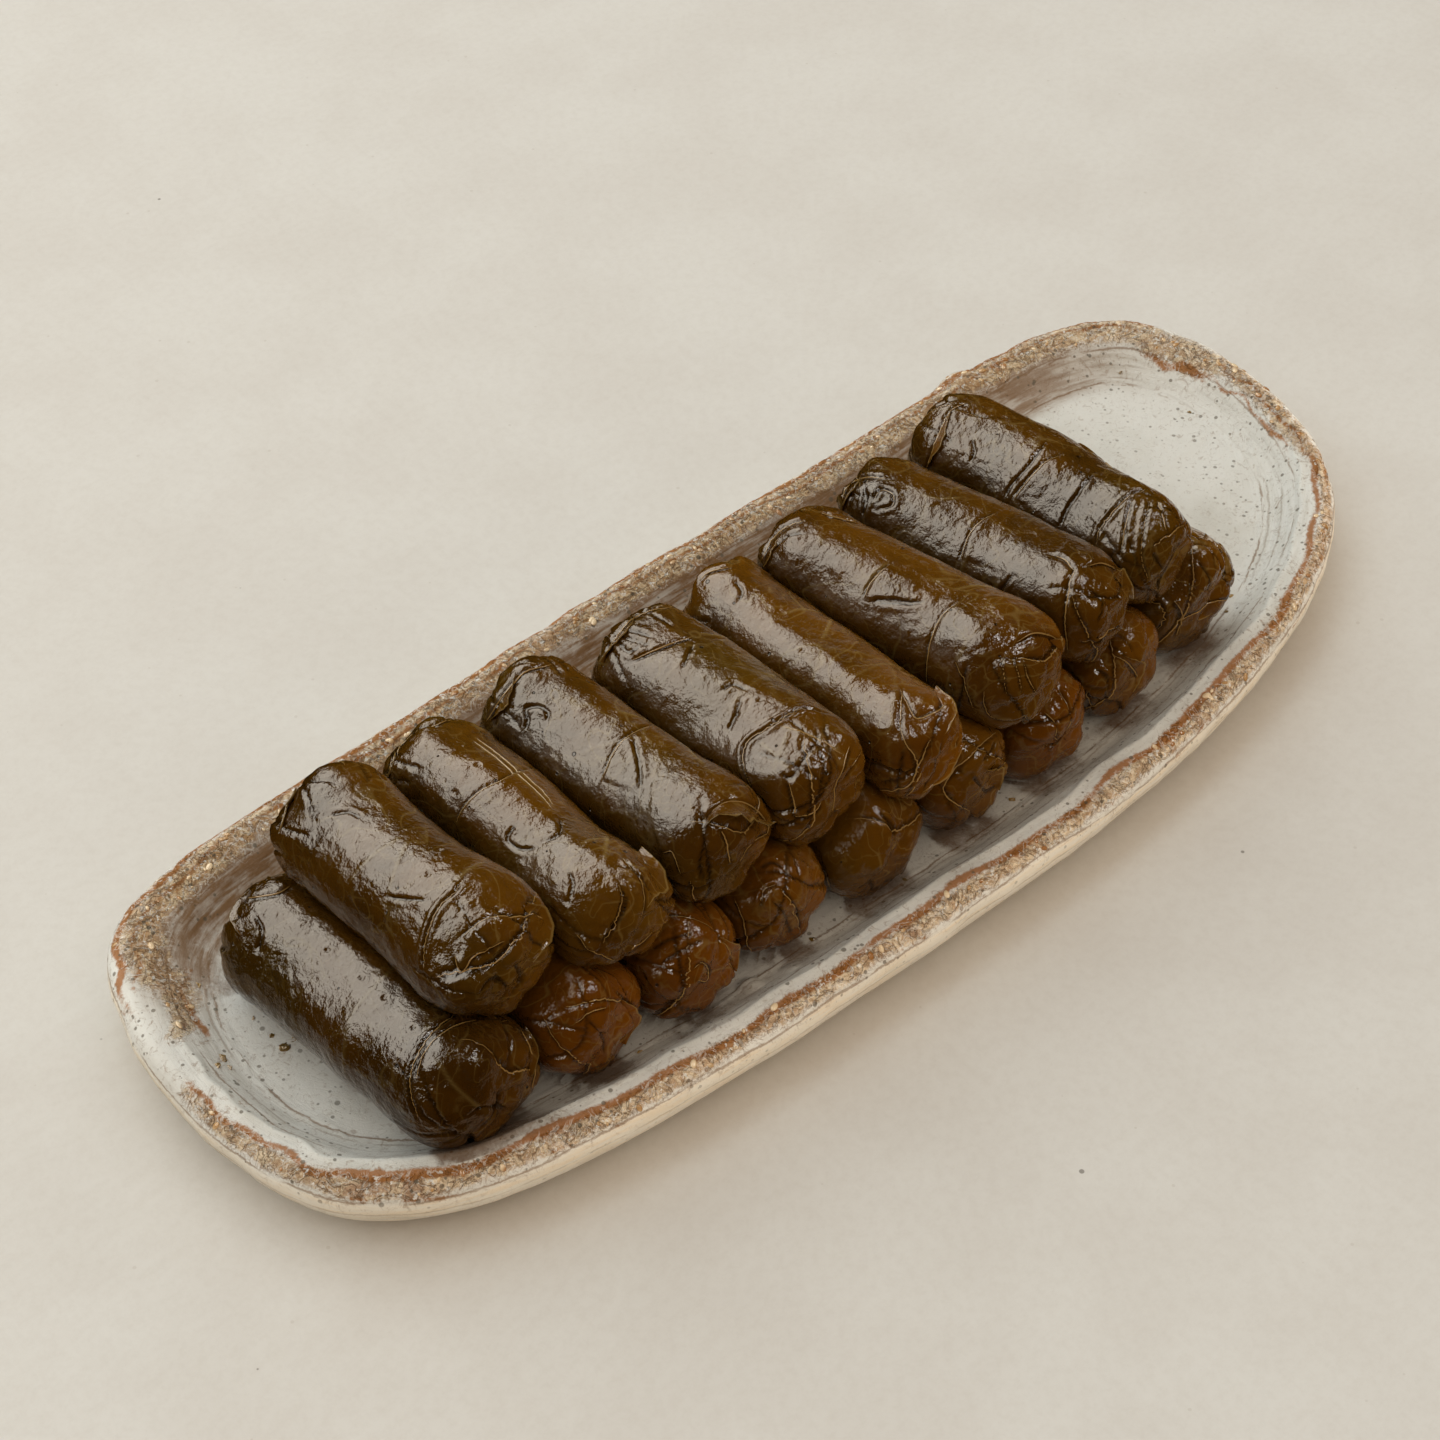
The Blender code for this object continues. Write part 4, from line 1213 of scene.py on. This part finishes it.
def hidden_marks(relief, roll, draw):
    """Veins and folds where the picture shows none: the far sides and the ends."""
    body = 1 - roll.cap_share
    for end in (-1, 1):
        for number in range(draw.randint(3, 4)):
            turn = draw.uniform(0, math.tau)
            lean = draw.uniform(0.75, 1.35)
            run = [end * (body + roll.cap_share * depth) for depth in (0.15, 0.55, 0.62, 0.2)]
            around = [turn - lean, turn - 0.4 * lean, turn + 0.4 * lean, turn + lean]
            relief.add("edge", roll.wrapped_line(run, around), draw.uniform(0.7, 1.2), bead=number == 0)
        for number in range(draw.randint(4, 6)):
            turn = draw.uniform(0, math.tau)
            run = [end * (body + roll.cap_share * depth) for depth in (-0.1, 0.25, 0.6)]
            bend = draw.uniform(-0.3, 0.3)
            relief.add("crease", roll.wrapped_line(run, [turn, turn + bend, turn + 1.5 * bend]), 0.6)
    # The leaf's own veins fan out from its stalk, round the roll
    stalk = draw.uniform(-0.5, 0.5)
    first = draw.uniform(0, math.tau)
    steps = (0.0, 0.9, 1.8, 2.7, 3.6)
    for slant in (-0.8, 0.05, 0.9):
        slant += draw.uniform(-0.1, 0.1)
        run = [stalk + slant * (1 - math.exp(-0.8 * step)) * body for step in steps]
        relief.add("vein", roll.wrapped_line(run, [first + step for step in steps]), 0.45)
        for step in (1.1, 2.2):
            start = stalk + slant * (1 - math.exp(-0.8 * step)) * body
            around = [first + step, first + step + 0.28, first + step + 0.44]
            for way in (-1, 1):
                run = [start, start + way * 0.13, start + way * 0.24]
                relief.add("vein", roll.wrapped_line(run, around), 0.3)


# Skin of a leaf: pebbles between its fine veins, slack wrinkles, and crumpled
# facets where it is folded over the ends
tree, given = new_geometry_tree(
    "leaf_skin", "Pebble size", "Pebble height", "Wrinkle size", "Wrinkle height", "Crumple size",
    "Crumple height", "Seed",
)
where = add_node(tree, "GeometryNodeInputPosition")[0]
layers = []
for layer, kind in (("Pebble", "FBM"), ("Wrinkle", "RIDGED_MULTIFRACTAL")):
    scale = work_out(tree, "DIVIDE", 1.0, given[layer + " size"])
    texture = add_node(
        tree, "ShaderNodeTexNoise",
        {"Vector": where, "W": given["Seed"], "Scale": scale, "Detail": 2.0, "Roughness": 0.5},
        noise_dimensions="4D", noise_type=kind,
    )
    layers.append(times(tree, work_out(tree, "SUBTRACT", texture[0], 0.5), given[layer + " height"]))
warp = vector_math(tree, "SCALE", noise(tree, where, 160.0, 1.0, output=1), 4.0 * MM)
scale = work_out(tree, "DIVIDE", 1.0, given["Crumple size"])
sockets = {"Vector": vector_math(tree, "ADD", where, warp), "W": given["Seed"], "Scale": scale}
facets = add_node(tree, "ShaderNodeTexVoronoi", sockets, voronoi_dimensions="4D")["Distance"]
facets = work_out(tree, "SUBTRACT", facets, 0.45)
layers.append(times(tree, facets, given["Crumple height"], read_number(tree, "crumple")))
rise = work_out(tree, "ADD", work_out(tree, "ADD", layers[0], layers[1]), layers[2])
skin_tree = finish_tree(tree, push_out(tree, given["Geometry"], rise), given)

# Rolled edges and ribs of a leaf: thin rounded beads laid on the leaf along its lines
tree, given = new_geometry_tree("leaf_beads", "Leaf", "Step")
line = add_node(tree, "GeometryNodeMeshToCurve", {"Mesh": given["Geometry"]})[0]
line = add_node(tree, "GeometryNodeResampleCurve", {"Curve": line, "Length": given["Step"]}, mode="LENGTH")[0]
leaf_shape = add_node(tree, "GeometryNodeObjectInfo", {"Object": given["Leaf"]})["Geometry"]
nearest = add_node(tree, "GeometryNodeProximity", {0: leaf_shape}, target_element="FACES")["Position"]
line = add_node(tree, "GeometryNodeSetPosition", {"Geometry": line, "Position": nearest})[0]
share = add_node(tree, "GeometryNodeSplineParameter")[0]
from_middle = work_out(tree, "ABSOLUTE", work_out(tree, "MULTIPLY_ADD", share, 2.0, -1.0))
taper = work_out(tree, "POWER", work_out(tree, "SUBTRACT", 1.0, from_middle), 0.4)
width = times(tree, read_number(tree, "girth"), taper)
line = add_node(tree, "GeometryNodeSetCurveRadius", {"Curve": line, "Radius": width})[0]
section = add_node(tree, "GeometryNodeCurvePrimitiveCircle", {"Resolution": 7, "Radius": 1.0})[0]
tube = add_node(
    tree, "GeometryNodeCurveToMesh",
    {"Curve": line, "Profile Curve": section, "Scale": width, "Fill Caps": True},
)[0]
bead_tree = finish_tree(tree, add_node(tree, "GeometryNodeSetShadeSmooth", {0: tube})[0], given)

LEAF_DARK = (0.070, 0.030, 0.0030)
LEAF_BROWN = (0.150, 0.060, 0.0040)
LEAF_AMBER = (0.190, 0.056, 0.0030)
LEAF_OLIVE = (0.118, 0.062, 0.0050)
LEAF_VEIN = (0.30, 0.19, 0.055)
LEAF_BLACK = (0.020, 0.009, 0.002)
# The beads are pale like the stems, and their paleness along edges and folds is partly a painted highlight
RIB_COLOR_AND_HIGHLIGHT = (0.26, 0.15, 0.045, 1.0)

leaf, tree, shader, place = new_material("vine_leaf")
cloud = noise(tree, place, 45.0, 4.0, 0.65)
fleck = noise(tree, place, 380.0, 4.0, 0.6)
grit = noise(tree, place, 1000.0, 3.0, 0.6)
color = blend(tree, spread(tree, cloud, 0.32, 0.64), LEAF_DARK, LEAF_BROWN)
color = coat(tree, color, LEAF_OLIVE, spread(tree, noise(tree, place, 28.0, 2.0), 0.48, 0.66, 0.0, 0.6))
color = coat(tree, color, LEAF_AMBER, number_on(tree, "amber"), 0.9)
for scale, width, share in ((48.0, 0.010, 0.40), (120.0, 0.016, 0.28)):
    color = coat(tree, color, LEAF_VEIN, thin_lines(tree, place, scale, width, 2.0, 0.5), share)
color = coat(tree, color, LEAF_VEIN, spread(tree, fleck, 0.58, 0.80, 0.0, 0.35))
# Pale veins and stems, and the painted highlight along the outer edges of the flaps
color = coat(tree, color, LEAF_VEIN, number_on(tree, "pale"), 0.6)
# Darkened small pits, and painted shade along the hollows of edges, folds and creases
torn = specks(tree, place, 300.0, 0.22, 0.05, 0.15)
pits_and_crease_shade = work_out(tree, "MAXIMUM", times(tree, torn, 0.8), times(tree, number_on(tree, "dark"), 0.85))
color = coat(tree, color, LEAF_BLACK, pits_and_crease_shade)
# Lightness of the leaf, partly painted light and shade: lighter on the side of each roll that faces the
# dish's right end, darker on the other
color = vector_math(tree, "SCALE", color, number_on(tree, "tone"))
dull = spread(tree, noise(tree, place, 430.0, 5.0, 0.72), 0.54, 0.62, 0.03, 0.17)
crinkle = noise(tree, place, 240.0, 3.0, 0.55, noise_type="RIDGED_MULTIFRACTAL")
normal = None
for layer, depth in ((crinkle, 0.24), (fleck, 0.52), (grit, 0.07), (torn, -0.60)):
    normal = bump(tree, layer, depth * MM, 1.0, normal)
set_inputs(tree, shader, {
    "Base Color": color, "Roughness": dull, "Specular IOR Level": 0.36, "Normal": normal,
})

bead_leaf, tree, shader, place = new_material("leaf_rib")
rib_bump = bump(tree, noise(tree, place, 900.0), 0.05 * MM)
set_inputs(tree, shader, {"Base Color": RIB_COLOR_AND_HIGHLIGHT, "Roughness": 0.15, "Normal": rib_bump})

# How light each leaf is, partly its own tone and partly painted shade that darkens some rolls, and how far it
# has turned amber
TONE_AND_SHADE = {
    "dolma_floor_1": 0.45, "dolma_top_1": 0.62, "dolma_top_2": 0.78, "dolma_top_3": 0.68, "dolma_top_4": 0.70,
    "dolma_top_5": 0.90, "dolma_top_6": 0.76, "dolma_top_7": 0.66, "dolma_top_8": 0.70,
}
AMBER = {
    "dolma_floor_2": 0.8, "dolma_floor_3": 0.75, "dolma_floor_4": 0.6, "dolma_floor_6": 0.35,
    "dolma_floor_7": 0.8, "dolma_floor_8": 0.45, "dolma_top_5": 0.4, "dolma_top_6": 0.35,
}
OTHER_TONE_AND_SHADE = 0.8
OTHER_AMBER = 0.15
# Rolls with a rounder back, in mm, and the way that it faces
CROWN = {"dolma_top_5": 0.7, "dolma_top_6": 1.3, "dolma_top_7": 0.7}
SHINE_NORMAL = np.array((-0.46, 0.02, 0.887))
FIRST_SEED = 700
DEEPEST = -1.0 * MM
HIGHEST = 0.9 * MM
SINK = 0.05 * MM
ROLL_NODES = [f"dolma_floor_{n}" for n in range(1, 10)] + [f"dolma_top_{n}" for n in range(1, 9)]
for number, node in enumerate(ROLL_NODES):
    draw = random.Random(FIRST_SEED + number)
    roll = Roll(node)
    relief = Relief(roll)
    for kind, *places in MARKS.get(node, ()):
        if kind == "pit":
            hit, _, _, _ = roll.skin.ray_cast(camera.location, picture_ray(*places[0]))
            if hit:
                relief.pit(hit)
        else:
            relief.add(kind, roll.seen_line(places))
    hidden_marks(relief, roll, draw)
    height, pale, dark = (
        values.reshape(ROLL_ROWS, ROLL_COLUMNS) for values in (relief.height, relief.pale, relief.dark)
    )
    crown = np.clip(roll.out @ SHINE_NORMAL, 0, 1) ** 14 * np.cos(roll.tilt)[:, None]
    height = np.clip(height, DEEPEST, HIGHEST) - SINK + CROWN.get(node, 0.0) * MM * crown
    tip = np.clip((roll.along / roll.half - 0.45) / 0.4, 0, 1)
    leaf_amber = AMBER.get(node, OTHER_AMBER)
    leaf_tone_and_shade = TONE_AND_SHADE.get(node, OTHER_TONE_AND_SHADE)
    grids = {
        "points": roll.points + roll.out * height[..., None], "pale": pale, "dark": dark,
        "amber": leaf_amber * (0.35 + 0.65 * tip),
        # Painted light and shade: each roll is painted lighter on its side that faces the dish's right end
        # and darker on the side that faces its left end
        "tone": leaf_tone_and_shade * (0.80 + 0.36 * (roll.out @ roll.right)),
        "crumple": 0.08 + 0.92 * np.sin(roll.tilt)[:, None] ** 2 + 0 * height,
    }
    grids = {key: grid[:, ::-1] for key, grid in grids.items()}
    piece = stand(node + "_leaf", wrapped_mesh(node + "_leaf", leaf, **grids))
    grow(piece, skin_tree, leaf, **{
        "Pebble size": 2.4 * MM, "Pebble height": 0.20 * MM, "Wrinkle size": 9.0 * MM,
        "Wrinkle height": 0.35 * MM, "Crumple size": 5.5 * MM, "Crumple height": 2.4 * MM, "Seed": number,
    })
    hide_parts(node)
    corners, edges, girth = [], [], []
    for line, bead in relief.beads:
        edges += [(k, k + 1) for k in range(len(corners), len(corners) + len(line) - 1)]
        corners += line.tolist()
        girth += [bead] * len(line)
    lines = bpy.data.meshes.new(node + "_ribs")
    lines.from_pydata(corners, edges, [])
    keep_values(lines, "girth", girth)
    ribs = stand(node + "_ribs", lines)
    grow(ribs, bead_tree, bead_leaf, **{"Leaf": piece, "Step": 0.5 * MM})
    # As on the dish, the finished leaf's faces are turned to point outwards
    piece.data.flip_normals()
    leaf_pieces = [piece, ribs]
    if node in FLAPS:
        sheet = flap_mesh(roll, node + "_flaps", FLAPS[node], draw)
        sheet.materials.append(leaf)
        keep_values(sheet, "amber", [leaf_amber] * len(sheet.vertices))
        keep_values(sheet, "tone", [leaf_tone_and_shade] * len(sheet.vertices))
        leaf_pieces.append(stand(node + "_flaps", sheet))
    for piece in leaf_pieces:
        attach(piece, "root")
